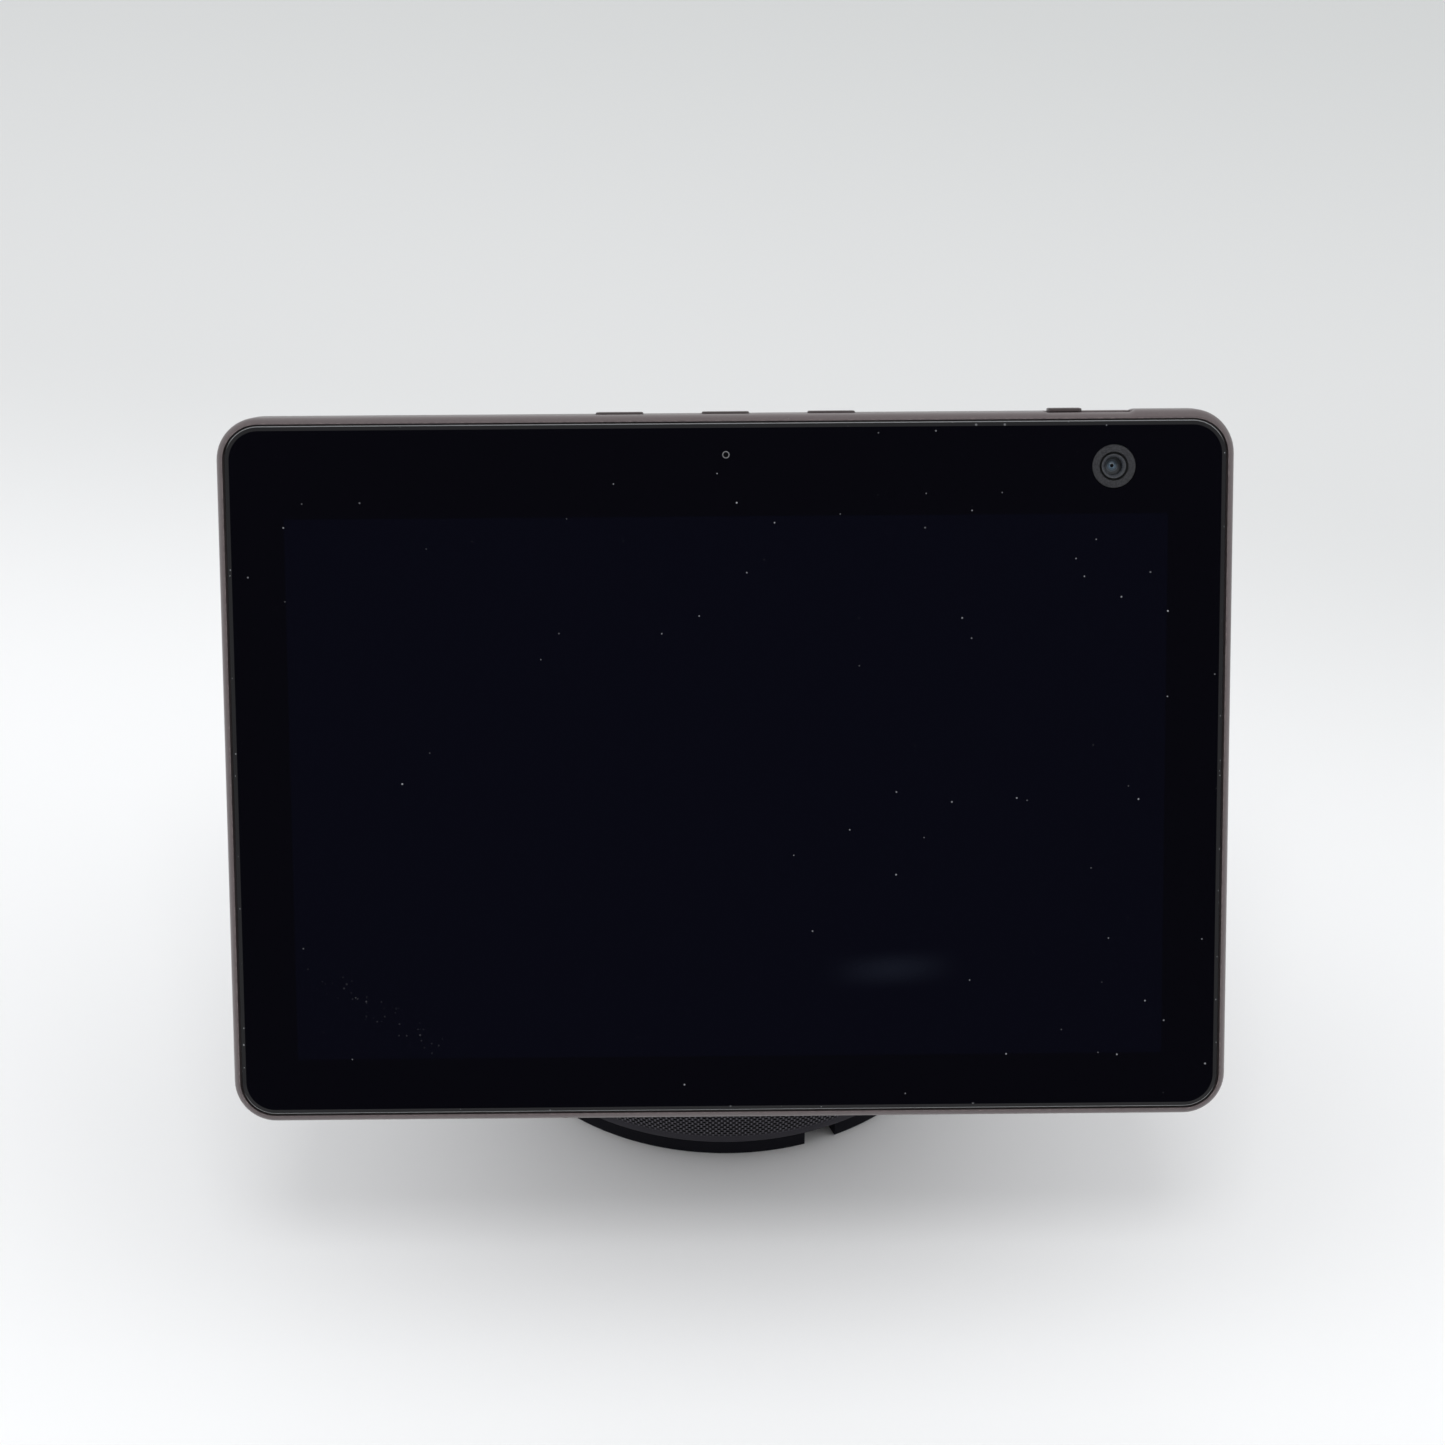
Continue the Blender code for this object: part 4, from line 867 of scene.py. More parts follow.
@dataclass(frozen=True)
class MetalFinish:
    """Bare steel or aluminium with tool lines and handling marks."""

    name: str
    slot: str
    colour: Colour
    roughness: float
    metallic: float = 1.0
    lay: float = 1500.0
    dulled: float = 0.78
    line_matte: float = 0.12
    line_depth: float = 0.006 * MM
    touch_scale: float = 120.0
    touch_matte: float = 0.16

    def paint(self, graph: Graph, shader: bpy.types.Node, effects: EffectLibrary) -> None:
        """Draws the tool lines and dulls the touched places.

        Args:
            graph: The material's graph.
            shader: Its Principled shader.
            effects: The shared effects.
        """
        place = graph.place()
        lines = graph.effect(effects[Effect.LAY], Vector=place, Scale=self.lay)
        smudge = graph.effect(effects[Effect.SMUDGE], Vector=place, Scale=self.touch_scale)["Mask"]
        body = graph.mix(lines["Shade"], shade(self.colour, self.dulled), self.colour)
        graph.feed(shader.inputs["Base Color"], body)
        least = self.roughness - self.line_matte / 2
        drawn = graph.math("MULTIPLY_ADD", lines["Height"], self.line_matte, least)
        matte = graph.math("MULTIPLY_ADD", smudge, self.touch_matte, drawn)
        graph.feed(shader.inputs["Roughness"], matte)
        graph.feed(shader.inputs["Normal"], graph.relief(lines["Height"], self.line_depth))
        shader.inputs["Metallic"].default_value = self.metallic


@dataclass(frozen=True)
class BoardFinish:
    """A green circuit board with tinned tracks and pads under the mask."""

    name: str
    slot: str
    mask: Colour = (0.010, 0.075, 0.035)
    track: Colour = (0.020, 0.125, 0.058)
    tin: Colour = (0.46, 0.44, 0.40)
    track_cells: float = 260.0
    track_stretch: Point = (1.0, 1.0, 2.0)
    track_edge: Pair = (0.10, 0.06)
    track_share: float = 0.8
    track_depth: float = 0.03 * MM
    pad_share: float = 0.45
    pad_cells: Pair = (330.0, 0.22)
    pad_least: float = 0.35
    grain: float = 900.0
    matte: Pair = (0.2, 0.3)

    def paint(self, graph: Graph, shader: bpy.types.Node, effects: EffectLibrary) -> None:
        """Runs tracks across the mask and scatters pads.

        Args:
            graph: The material's graph.
            shader: Its Principled shader.
            effects: The shared effects.
        """
        place = graph.place()
        cells = graph.add("ShaderNodeTexVoronoi", distance="MANHATTAN", feature="DISTANCE_TO_EDGE")
        graph.feed(cells.inputs["Vector"], graph.scaled(place, self.track_stretch))
        cells.inputs["Scale"].default_value = self.track_cells
        runs = graph.ramp(cells.outputs[0], *self.track_edge)
        pads = graph.scatter(effects[Effect.DUST], place, self.pad_share, *self.pad_cells)
        grain = graph.effect(effects[Effect.GRAIN], Vector=place, Scale=self.grain)
        body = graph.mix(graph.math("MULTIPLY", runs, self.track_share), self.mask, self.track)
        body = graph.mix(graph.math("GREATER_THAN", pads, self.pad_least), body, self.tin)
        graph.feed(shader.inputs["Base Color"], body)
        graph.feed(shader.inputs["Roughness"], graph.math("MULTIPLY_ADD", grain["Shade"], *self.matte))
        graph.feed(shader.inputs["Normal"], graph.relief(runs, self.track_depth))


@dataclass(frozen=True)
class WindingFinish:
    """Laminated iron with enamelled copper showing between the teeth."""

    name: str
    slot: str
    iron: Colour = (0.20, 0.17, 0.15)
    copper: Colour = (0.42, 0.19, 0.08)
    sheet: float = 0.5 * MM
    seam_edge: Pair = (0.36, 0.48)
    seam_share: float = 0.6
    seam_shade: float = 0.35
    seam_depth: float = 0.05 * MM
    teeth: Pair = (22.6 * MM, 21.8 * MM)
    grain: float = 1200.0
    matte: Pair = (0.25, 0.38)
    metallic: float = 0.8

    def paint(self, graph: Graph, shader: bpy.types.Node, effects: EffectLibrary) -> None:
        """Stacks the sheets and winds the copper.

        Args:
            graph: The material's graph.
            shader: Its Principled shader.
            effects: The shared effects.
        """
        place = graph.place()
        x, y, z = graph.split(place)
        layer = graph.math("FRACT", graph.math("DIVIDE", z, self.sheet))
        middle = graph.math("ABSOLUTE", graph.math("SUBTRACT", layer, 0.5))
        seam = graph.ramp(middle, *self.seam_edge)
        wound = graph.ramp(graph.length(x, y), *self.teeth)
        grain = graph.effect(effects[Effect.GRAIN], Vector=place, Scale=self.grain)
        body = graph.mix(wound, self.iron, self.copper)
        seamed = graph.math("MULTIPLY", seam, self.seam_share)
        body = graph.mix(seamed, body, shade(self.iron, self.seam_shade))
        graph.feed(shader.inputs["Base Color"], body)
        graph.feed(shader.inputs["Roughness"], graph.math("MULTIPLY_ADD", grain["Shade"], *self.matte))
        graph.feed(shader.inputs["Normal"], graph.relief(seam, self.seam_depth))
        shader.inputs["Metallic"].default_value = self.metallic


@dataclass(frozen=True)
class ConeFinish:
    """Pressed paper with long fibres under a thin black coat."""

    name: str
    slot: str
    colour: Colour = (0.025, 0.025, 0.027)
    fibre: Colour = (0.060, 0.058, 0.056)
    fibre_scale: float = 900.0
    fibre_detail: float = 5.0
    fibre_stretch: Point = (1.0, 0.2, 0.6)
    fibre_edge: Pair = (0.5, 0.7)
    fibre_depth: float = 0.06 * MM
    grain: float = 700.0
    matte: Pair = (0.15, 0.78)

    def paint(self, graph: Graph, shader: bpy.types.Node, effects: EffectLibrary) -> None:
        """Lays fibres through the pulp.

        Args:
            graph: The material's graph.
            shader: Its Principled shader.
            effects: The shared effects.
        """
        place = graph.place()
        drawn = graph.scaled(place, self.fibre_stretch)
        strand = graph.noise(drawn, self.fibre_scale, self.fibre_detail)
        grain = graph.effect(effects[Effect.GRAIN], Vector=place, Scale=self.grain)
        pulp = graph.mix(graph.ramp(strand, *self.fibre_edge), self.colour, self.fibre)
        graph.feed(shader.inputs["Base Color"], pulp)
        graph.feed(shader.inputs["Roughness"], graph.math("MULTIPLY_ADD", grain["Shade"], *self.matte))
        graph.feed(shader.inputs["Normal"], graph.relief(strand, self.fibre_depth))


@dataclass(frozen=True)
class RingedFinish:
    """Bands of colour round an eye in the glass: painted rings, or on the lens painted reflections of its
    coating.
    """

    name: str
    slot: str
    middle: Pair
    bands: tuple[tuple[float, Colour], ...]
    roughness: float
    grain: float = 0.10
    gloss: float = 0.5
    coat: float = 0.0
    coat_roughness: float = 0.04
    blur: float = 0.05 * MM
    fleck: Colour = (0.30, 0.31, 0.33)
    fleck_scale: float = 4200.0
    fleck_edge: Pair = (0.35, 0.65)
    fleck_matte: float = 0.08
    fleck_depth: float = 0.004 * MM

    def paint(self, graph: Graph, shader: bpy.types.Node, effects: EffectLibrary) -> None:
        """Paints each band between its radius and the next.

        Args:
            graph: The material's graph.
            shader: Its Principled shader.
            effects: The shared effects.
        """
        place = graph.place()
        x, _, z = graph.split(place)
        right = graph.math("SUBTRACT", x, self.middle[0])
        up = graph.math("SUBTRACT", z, self.middle[1])
        out = graph.length(right, up)
        grain = graph.effect(effects[Effect.GRAIN], Vector=place, Scale=self.fleck_scale)
        body: Any = self.bands[0][1]
        for radius, colour in self.bands[1:]:
            body = graph.mix(graph.ramp(out, radius - self.blur, radius + self.blur), body, colour)
        flecks = graph.ramp(grain["Shade"], *self.fleck_edge)
        body = graph.mix(graph.math("MULTIPLY", flecks, self.grain), body, self.fleck)
        graph.feed(shader.inputs["Base Color"], body)
        matte = graph.math("MULTIPLY_ADD", grain["Shade"], self.fleck_matte, self.roughness)
        graph.feed(shader.inputs["Roughness"], matte)
        graph.feed(shader.inputs["Normal"], graph.relief(grain["Height"], self.fleck_depth))
        shader.inputs["Specular IOR Level"].default_value = self.gloss
        shader.inputs["Coat Weight"].default_value = self.coat
        shader.inputs["Coat Roughness"].default_value = self.coat_roughness


@dataclass(frozen=True)
class ScreenFinish:
    """An unlit screen: fine columns of cells under a satin film."""

    name: str
    slot: str
    colour: Colour = (0.006, 0.0065, 0.009)
    cell: float = 0.17 * MM
    rule_edge: Pair = (0.75, 0.95)
    rule_gain: float = 1.8
    grain: float = 500.0
    matte: Pair = (0.12, 0.2)

    def paint(self, graph: Graph, shader: bpy.types.Node, effects: EffectLibrary) -> None:
        """Rules the cells and clouds the film.

        Args:
            graph: The material's graph.
            shader: Its Principled shader.
            effects: The shared effects.
        """
        place = graph.place()
        column = graph.math("FRACT", graph.math("DIVIDE", graph.split(place)[0], self.cell))
        rule = graph.ramp(column, *self.rule_edge)
        grain = graph.effect(effects[Effect.GRAIN], Vector=place, Scale=self.grain)
        body = graph.mix(rule, self.colour, shade(self.colour, self.rule_gain))
        graph.feed(shader.inputs["Base Color"], body)
        graph.feed(shader.inputs["Roughness"], graph.math("MULTIPLY_ADD", grain["Shade"], *self.matte))


@dataclass(frozen=True)
class PaperFinish:
    """A pale matte sweep under and behind the object, with painted shade darkening it towards the back."""

    name: str
    slot: str
    colour: Colour = (0.925, 0.93, 0.935)
    # Painted shade: the back and far colours darken the paper towards the back, where less light falls.
    back: Colour = (0.715, 0.722, 0.722)
    far: Colour = (0.610, 0.622, 0.618)
    turn: Pair = (0.05, 0.34)
    fall: Pair = (0.30, 0.95)
    shade_slant: float = 0.25
    cloud: Colour = (0.6, 0.6, 0.6)
    cloud_scale: float = 3.0
    cloud_share: float = 0.03
    grain: float = 350.0
    grain_depth: float = 0.01 * MM
    matte: Pair = (0.1, 0.6)
    gloss: float = 0.2

    def paint(self, graph: Graph, shader: bpy.types.Node, effects: EffectLibrary) -> None:
        """Mottles the paper a little and paints shade on it towards the back, sooner on the right.

        Args:
            graph: The material's graph.
            shader: Its Principled shader.
            effects: The shared effects.
        """
        place = graph.place()
        cloud = graph.effect(effects[Effect.SMUDGE], Vector=place, Scale=self.cloud_scale)["Mask"]
        grain = graph.effect(effects[Effect.GRAIN], Vector=place, Scale=self.grain)
        across, depth, _ = graph.split(place)
        depth = graph.math("MULTIPLY_ADD", across, self.shade_slant, depth)
        body = graph.mix(graph.ramp(depth, *self.turn), self.colour, self.back)
        body = graph.mix(graph.ramp(depth, *self.fall), body, self.far)
        body = graph.mix(graph.math("MULTIPLY", cloud, self.cloud_share), body, self.cloud)
        graph.feed(shader.inputs["Base Color"], body)
        graph.feed(shader.inputs["Roughness"], graph.math("MULTIPLY_ADD", grain["Shade"], *self.matte))
        graph.feed(shader.inputs["Normal"], graph.relief(grain["Height"], self.grain_depth))
        shader.inputs["Specular IOR Level"].default_value = self.gloss


class Finishes:
    """Every finish of the object, and the materials made from them."""

    camera_eye: Pair = (95.6 * MM, 75.4 * MM)
    sensor_eye: Pair = (0.0, 78.9 * MM)

    # Painted highlight: the charcoal's strong edge lightening mostly stands for light caught along the
    # frame's edges, with some wear.
    charcoal = MouldedFinish(
        "charcoal_moulding", "charcoal_plastic", (0.104, 0.083, 0.085), 0.34, gloss=0.65, worn_and_highlit=2.8,
        dust=0.16)
    satin = MouldedFinish(
        "satin_moulding", "satin_plastic", (0.054, 0.041, 0.042), 0.40, depth=0.008 * MM, dust=0.10)
    black = MouldedFinish("black_moulding", "black_plastic", (0.012, 0.012, 0.013), 0.52, worn_and_highlit=1.6)
    rubber = MouldedFinish(
        "black_rubber", "black_rubber", (0.0036, 0.0034, 0.0066), 0.66, gloss=0.12, grain=1100.0,
        worn_and_highlit=1.7, dust=0.03)
    polymer = MouldedFinish("bearing_polymer", "bearing_polymer", (0.70, 0.69, 0.66), 0.5, worn_and_highlit=1.05)
    glass = GlassFinish("cover_glass", "black_glass")
    knit = KnitFinish("open_knit", "knit_fabric")
    steel = MetalFinish("plain_steel", "steel", (0.52, 0.52, 0.53), 0.36)
    aluminium = MetalFinish("cast_aluminium", "aluminium", (0.62, 0.63, 0.64), 0.42, lay=900.0)
    ferrite = MetalFinish("ferrite", "magnet", (0.06, 0.06, 0.065), 0.52, metallic=0.6, lay=700.0)
    board = BoardFinish("circuit_board", "circuit_board")
    winding = WindingFinish("coil_iron", "coil_iron")
    cone = ConeFinish("paper_cone", "paper_cone")
    screen = ScreenFinish("dark_screen", "screen")
    eye_ring = RingedFinish(
        "eye_ring", "ring_grey", camera_eye,
        (
            (0.0, (0.030, 0.034, 0.042)),
            (2.45 * MM, (0.050, 0.053, 0.060)),
            (2.98 * MM, (0.001, 0.001, 0.001)),
            (3.58 * MM, (0.021, 0.021, 0.024)),
        ),
        0.50, gloss=0.2,
    )
    # Painted reflection: the lens's bright bluish rings stand for light reflected in its coated elements,
    # set bright to show through the shade of the ring.
    lens = RingedFinish(
        "lens_with_painted_reflections", "lens_glass", camera_eye,
        (
            (0.0, (0.003, 0.004, 0.007)),
            (0.50 * MM, (0.420, 0.620, 0.800)),
            (0.72 * MM, (0.150, 0.210, 0.290)),
            (0.90 * MM, (0.340, 0.450, 0.560)),
            (1.12 * MM, (0.180, 0.215, 0.260)),
            (1.34 * MM, (0.400, 0.445, 0.500)),
            (1.58 * MM, (0.220, 0.240, 0.265)),
            (1.80 * MM, (0.390, 0.410, 0.440)),
        ),
        0.04, grain=0.03, coat=0.6,
    )
    sensor = RingedFinish(
        "sensor_glass", "lens_glass", sensor_eye,
        (
            (0.0, (0.001, 0.001, 0.002)),
            (0.70 * MM, (0.300, 0.305, 0.315)),
            (0.86 * MM, (0.004, 0.004, 0.005)),
        ),
        0.40, grain=0.0, gloss=0.1,
    )
    paper = PaperFinish("pale_paper", "")

    def __init__(self) -> None:
        """Starts with no material made."""
        self.effects = EffectLibrary()
        self.made: dict[str, bpy.types.Material] = {}

    def material(self, finish: Finish) -> bpy.types.Material:
        """Gives the material of a finish, made once.

        Args:
            finish: The finish.

        Returns:
            Its material.
        """
        if finish.name not in self.made:
            material = bpy.data.materials.new(finish.name)
            material.use_nodes = True
            shader = material.node_tree.nodes["Principled BSDF"]
            finish.paint(Graph(material.node_tree), shader, self.effects)
            self.made[finish.name] = material
        return self.made[finish.name]


class Workshop:
    """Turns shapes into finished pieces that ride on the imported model."""

    sharp: float = math.radians(32.0)

    def __init__(self, frame: dict[str, Any]) -> None:
        """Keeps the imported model's nodes and record.
        """
        self.nodes: dict[str, bpy.types.Object] = frame["nodes"]
        self.record: dict[str, Any] = frame["record"]
        self.finishes = Finishes()
        self.pieces: list[bpy.types.Object] = []

    @staticmethod
    def loose(shape: Shape, name: str, seat: Matrix) -> bpy.types.Object:
        """Puts a shape in the scene, in its own axes.

        Args:
            shape: The shape.
            name: The object's name.
            seat: Where its axes lie.

        Returns:
            The object.
        """
        thing = bpy.data.objects.new(name, shape.finished(name))
        bpy.context.scene.collection.objects.link(thing)
        thing.matrix_world = seat
        return thing

    def worked(self, thing: bpy.types.Object, tools: Sequence[Shape], operation: str) -> None:
        """Cuts shapes out of a piece, or joins them to it.

        Args:
            thing: The piece.
            tools: The shapes, in the piece's axes.
            operation: DIFFERENCE or UNION.
        """
        helpers = [self.loose(tool, "tool", thing.matrix_world.copy()) for tool in tools]
        for helper in helpers:
            step = thing.modifiers.new("step", "BOOLEAN")
            step.operation, step.solver, step.object = operation, "EXACT", helper
        bpy.context.view_layer.update()
        whole = thing.evaluated_get(bpy.context.evaluated_depsgraph_get())
        mesh, old = bpy.data.meshes.new_from_object(whole), thing.data
        thing.modifiers.clear()
        thing.data = mesh
        for spent in [old] + [helper.data for helper in helpers]:
            bpy.data.meshes.remove(spent)

    def piece(self, name: str, shape: Shape, seat: Matrix, body: str, finish: Finish, nodes: Sequence[str],
              cuts: Sequence[Shape] = (), joins: Sequence[Shape] = ()) -> bpy.types.Object:
        """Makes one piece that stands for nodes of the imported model.

        Args:
            name: The piece's name.
            shape: Its shape.
            seat: Where its axes lie.
            body: The body that it moves with.
            finish: Its finish.
            nodes: The nodes that it stands for.
            cuts: Shapes to cut out of it.
            joins: Shapes to join to it first.

        Returns:
            The piece.
        """
        thing = self.loose(shape, name, seat)
        if joins:
            self.worked(thing, joins, "UNION")
        if cuts:
            self.worked(thing, cuts, "DIFFERENCE")
        thing.data.name = name
        thing.data.shade_smooth()
        thing.data.set_sharp_from_angle(angle=self.sharp)
        thing.data.materials.clear()
        thing.data.materials.append(self.finishes.material(finish))
        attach(thing, body)
        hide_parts(*nodes)
        self.pieces.append(thing)
        LOG.info("piece %s rides on %s: %d faces", name, body, len(thing.data.polygons))
        return thing

    def dress(self, name: str, finish: Finish) -> None:
        """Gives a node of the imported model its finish.

        Args:
            name: The node.
            finish: Its finish.
        """
        node = self.nodes[name]
        node.data.materials.clear()
        node.data.materials.append(self.finishes.material(finish))
        LOG.info("node %s dressed in %s", name, finish.name)


@dataclass
class PhotoCamera:
    """The camera where the photograph was taken from."""

    place: Point = (-7.1 * MM, -674.2 * MM, 599.8 * MM)
    down: float = math.radians(36.548)
    roll: float = math.radians(0.105)
    aside: float = math.radians(0.635)
    lens: float = 74.29
    film: float = 36.0
    clip: Pair = (0.01, 50.0)

    def build(self) -> None:
        """Makes the camera and looks through it."""
        data = bpy.data.cameras.new("photo_camera")
        data.lens, data.sensor_width = self.lens, self.film
        data.clip_start, data.clip_end = self.clip
        camera = bpy.data.objects.new("photo_camera", data)
        camera.location = self.place
        camera.rotation_euler = (math.pi / 2 - self.down, self.roll, -self.aside)
        bpy.context.scene.collection.objects.link(camera)
        bpy.context.scene.camera = camera


@dataclass
class Studio:
    """A pale floor under soft light, with a dark board in front that keeps the glass black."""

    floor_radius: float = 9.0
    floor_thick: float = 0.02
    floor_steps: int = 96
    ambient: float = 0.965
    pale: float = 0.90
    sky: Colour = (0.985, 0.99, 1.0)
    front: Point = (0.0, -0.94, 0.34)
    front_edge: Pair = (0.35, 0.95)
    front_loss: float = 0.80
    side_edge: Pair = (0.35, 0.85)
    side_gain: float = 0.70
    key_size: Pair = (0.60, 0.40)
    key_place: Point = (0.0, -0.80, 1.60)
    key_aim: Point = (0.0, -0.05, 0.0)
    key_power: float = 5.0
    board_place: Point = (0.0, -1.55, 0.74)
    board_half: Pair = (1.0, 0.75)
    board_thick: float = 0.01
    board_fade: float = 0.62
    board_shade: Colour = (0.030, 0.034, 0.042)

    def build(self, workshop: Workshop) -> None:
        """Sets the floor, the light and the dark board.

        Args:
            workshop: Makes the floor's finish.
        """
        scene = bpy.context.scene
        scene.view_settings.view_transform = "Standard"
        self.light_world(scene)
        self.hang_key()
        edge = [(self.floor_radius, -self.floor_thick), (self.floor_radius, 0.0)]
        disc = Shape().turned(Axis.Z, edge, self.floor_steps, ring=False)
        floor = workshop.loose(disc, "floor", Matrix.Identity(4))
        floor.data.materials.append(workshop.finishes.material(Finishes.paper))
        self.stand_board(workshop)

    def light_world(self, scene: bpy.types.Scene) -> None:
        """Fills the room with pale light, less of it from in front and more from the sides.

        What is seen of the room, straight or in a reflection, stays evenly pale.

        Args:
            scene: The scene that gets the light.
        """
        scene.world = bpy.data.worlds.new("studio")
        scene.world.use_nodes = True
        tree = scene.world.node_tree
        graph = Graph(tree)
        way = graph.add("ShaderNodeTexCoord").outputs["Generated"]
        facing = graph.add("ShaderNodeVectorMath", operation="DOT_PRODUCT")
        graph.feed(facing.inputs[0], way)
        facing.inputs[1].default_value = self.front
        loss = graph.ramp(facing.outputs["Value"], *self.front_edge, 0.0, self.front_loss)
        across = graph.math("ABSOLUTE", graph.split(way)[0])
        sides = graph.ramp(across, *self.side_edge, 0.0, self.side_gain)
        cast = graph.math("ADD", graph.math("MULTIPLY_ADD", loss, -self.ambient, self.ambient), sides)
        path = graph.add("ShaderNodeLightPath").outputs
        seen = graph.math("ADD", path["Is Camera Ray"], path["Is Glossy Ray"])
        seen = graph.math("ADD", seen, path["Is Transmission Ray"], clamp=True)
        kept = graph.math("MULTIPLY", cast, graph.math("SUBTRACT", 1.0, seen))
        sky = tree.nodes["Background"]
        sky.inputs["Color"].default_value = (*self.sky, 1.0)
        graph.feed(sky.inputs["Strength"], graph.math("MULTIPLY_ADD", seen, self.pale, kept))

    def hang_key(self) -> None:
        """Hangs one soft lamp high in front, left out of reflections."""
        data = bpy.data.lights.new("key", "AREA")
        data.shape, data.size, data.size_y = "RECTANGLE", *self.key_size
        data.energy = self.key_power
        lamp = bpy.data.objects.new("key", data)
        lamp.location = self.key_place
        way = Vector(self.key_aim) - Vector(self.key_place)
        lamp.rotation_euler = way.to_track_quat("-Z", "Y").to_euler()
        lamp.visible_glossy = False
        bpy.context.scene.collection.objects.link(lamp)

    def stand_board(self, workshop: Workshop) -> None:
        """Stands a dark board with faded edges in front, seen only in reflections.

        Args:
            workshop: Puts it in the scene.
        """
        wide, tall = self.board_half
        outline = [(-wide, -tall), (wide, -tall), (wide, tall), (-wide, tall)]
        loops = [[(x, y, z) for x, z in outline] for y in (-self.board_thick, 0.0)]
        board = workshop.loose(Shape().loft(loops), "dark_board", Matrix.Translation(self.board_place))
        material = bpy.data.materials.new("dark_board")
        material.use_nodes = True
        tree = material.node_tree
        tree.nodes.remove(tree.nodes["Principled BSDF"])
        graph = Graph(tree)
        x, _, z = graph.split(graph.place())
        inside = graph.math(
            "MULTIPLY", graph.ramp(graph.math("ABSOLUTE", x), wide, self.board_fade * wide),
            graph.ramp(graph.math("ABSOLUTE", z), tall, self.board_fade * tall))
        # Painted reflection: the board glows dark inside and pale at its faded edges, and only glossy rays
        # see it, so it paints the dark reflection in the glass.
        pale = shade(self.sky, self.pale)
        glow = graph.add("ShaderNodeEmission")
        graph.feed(glow.inputs["Color"], graph.mix(inside, pale, self.board_shade))
        graph.feed(tree.nodes["Material Output"].inputs["Surface"], glow.outputs[0])
        board.data.materials.append(material)
        board.visible_camera = board.visible_diffuse = board.visible_shadow = False


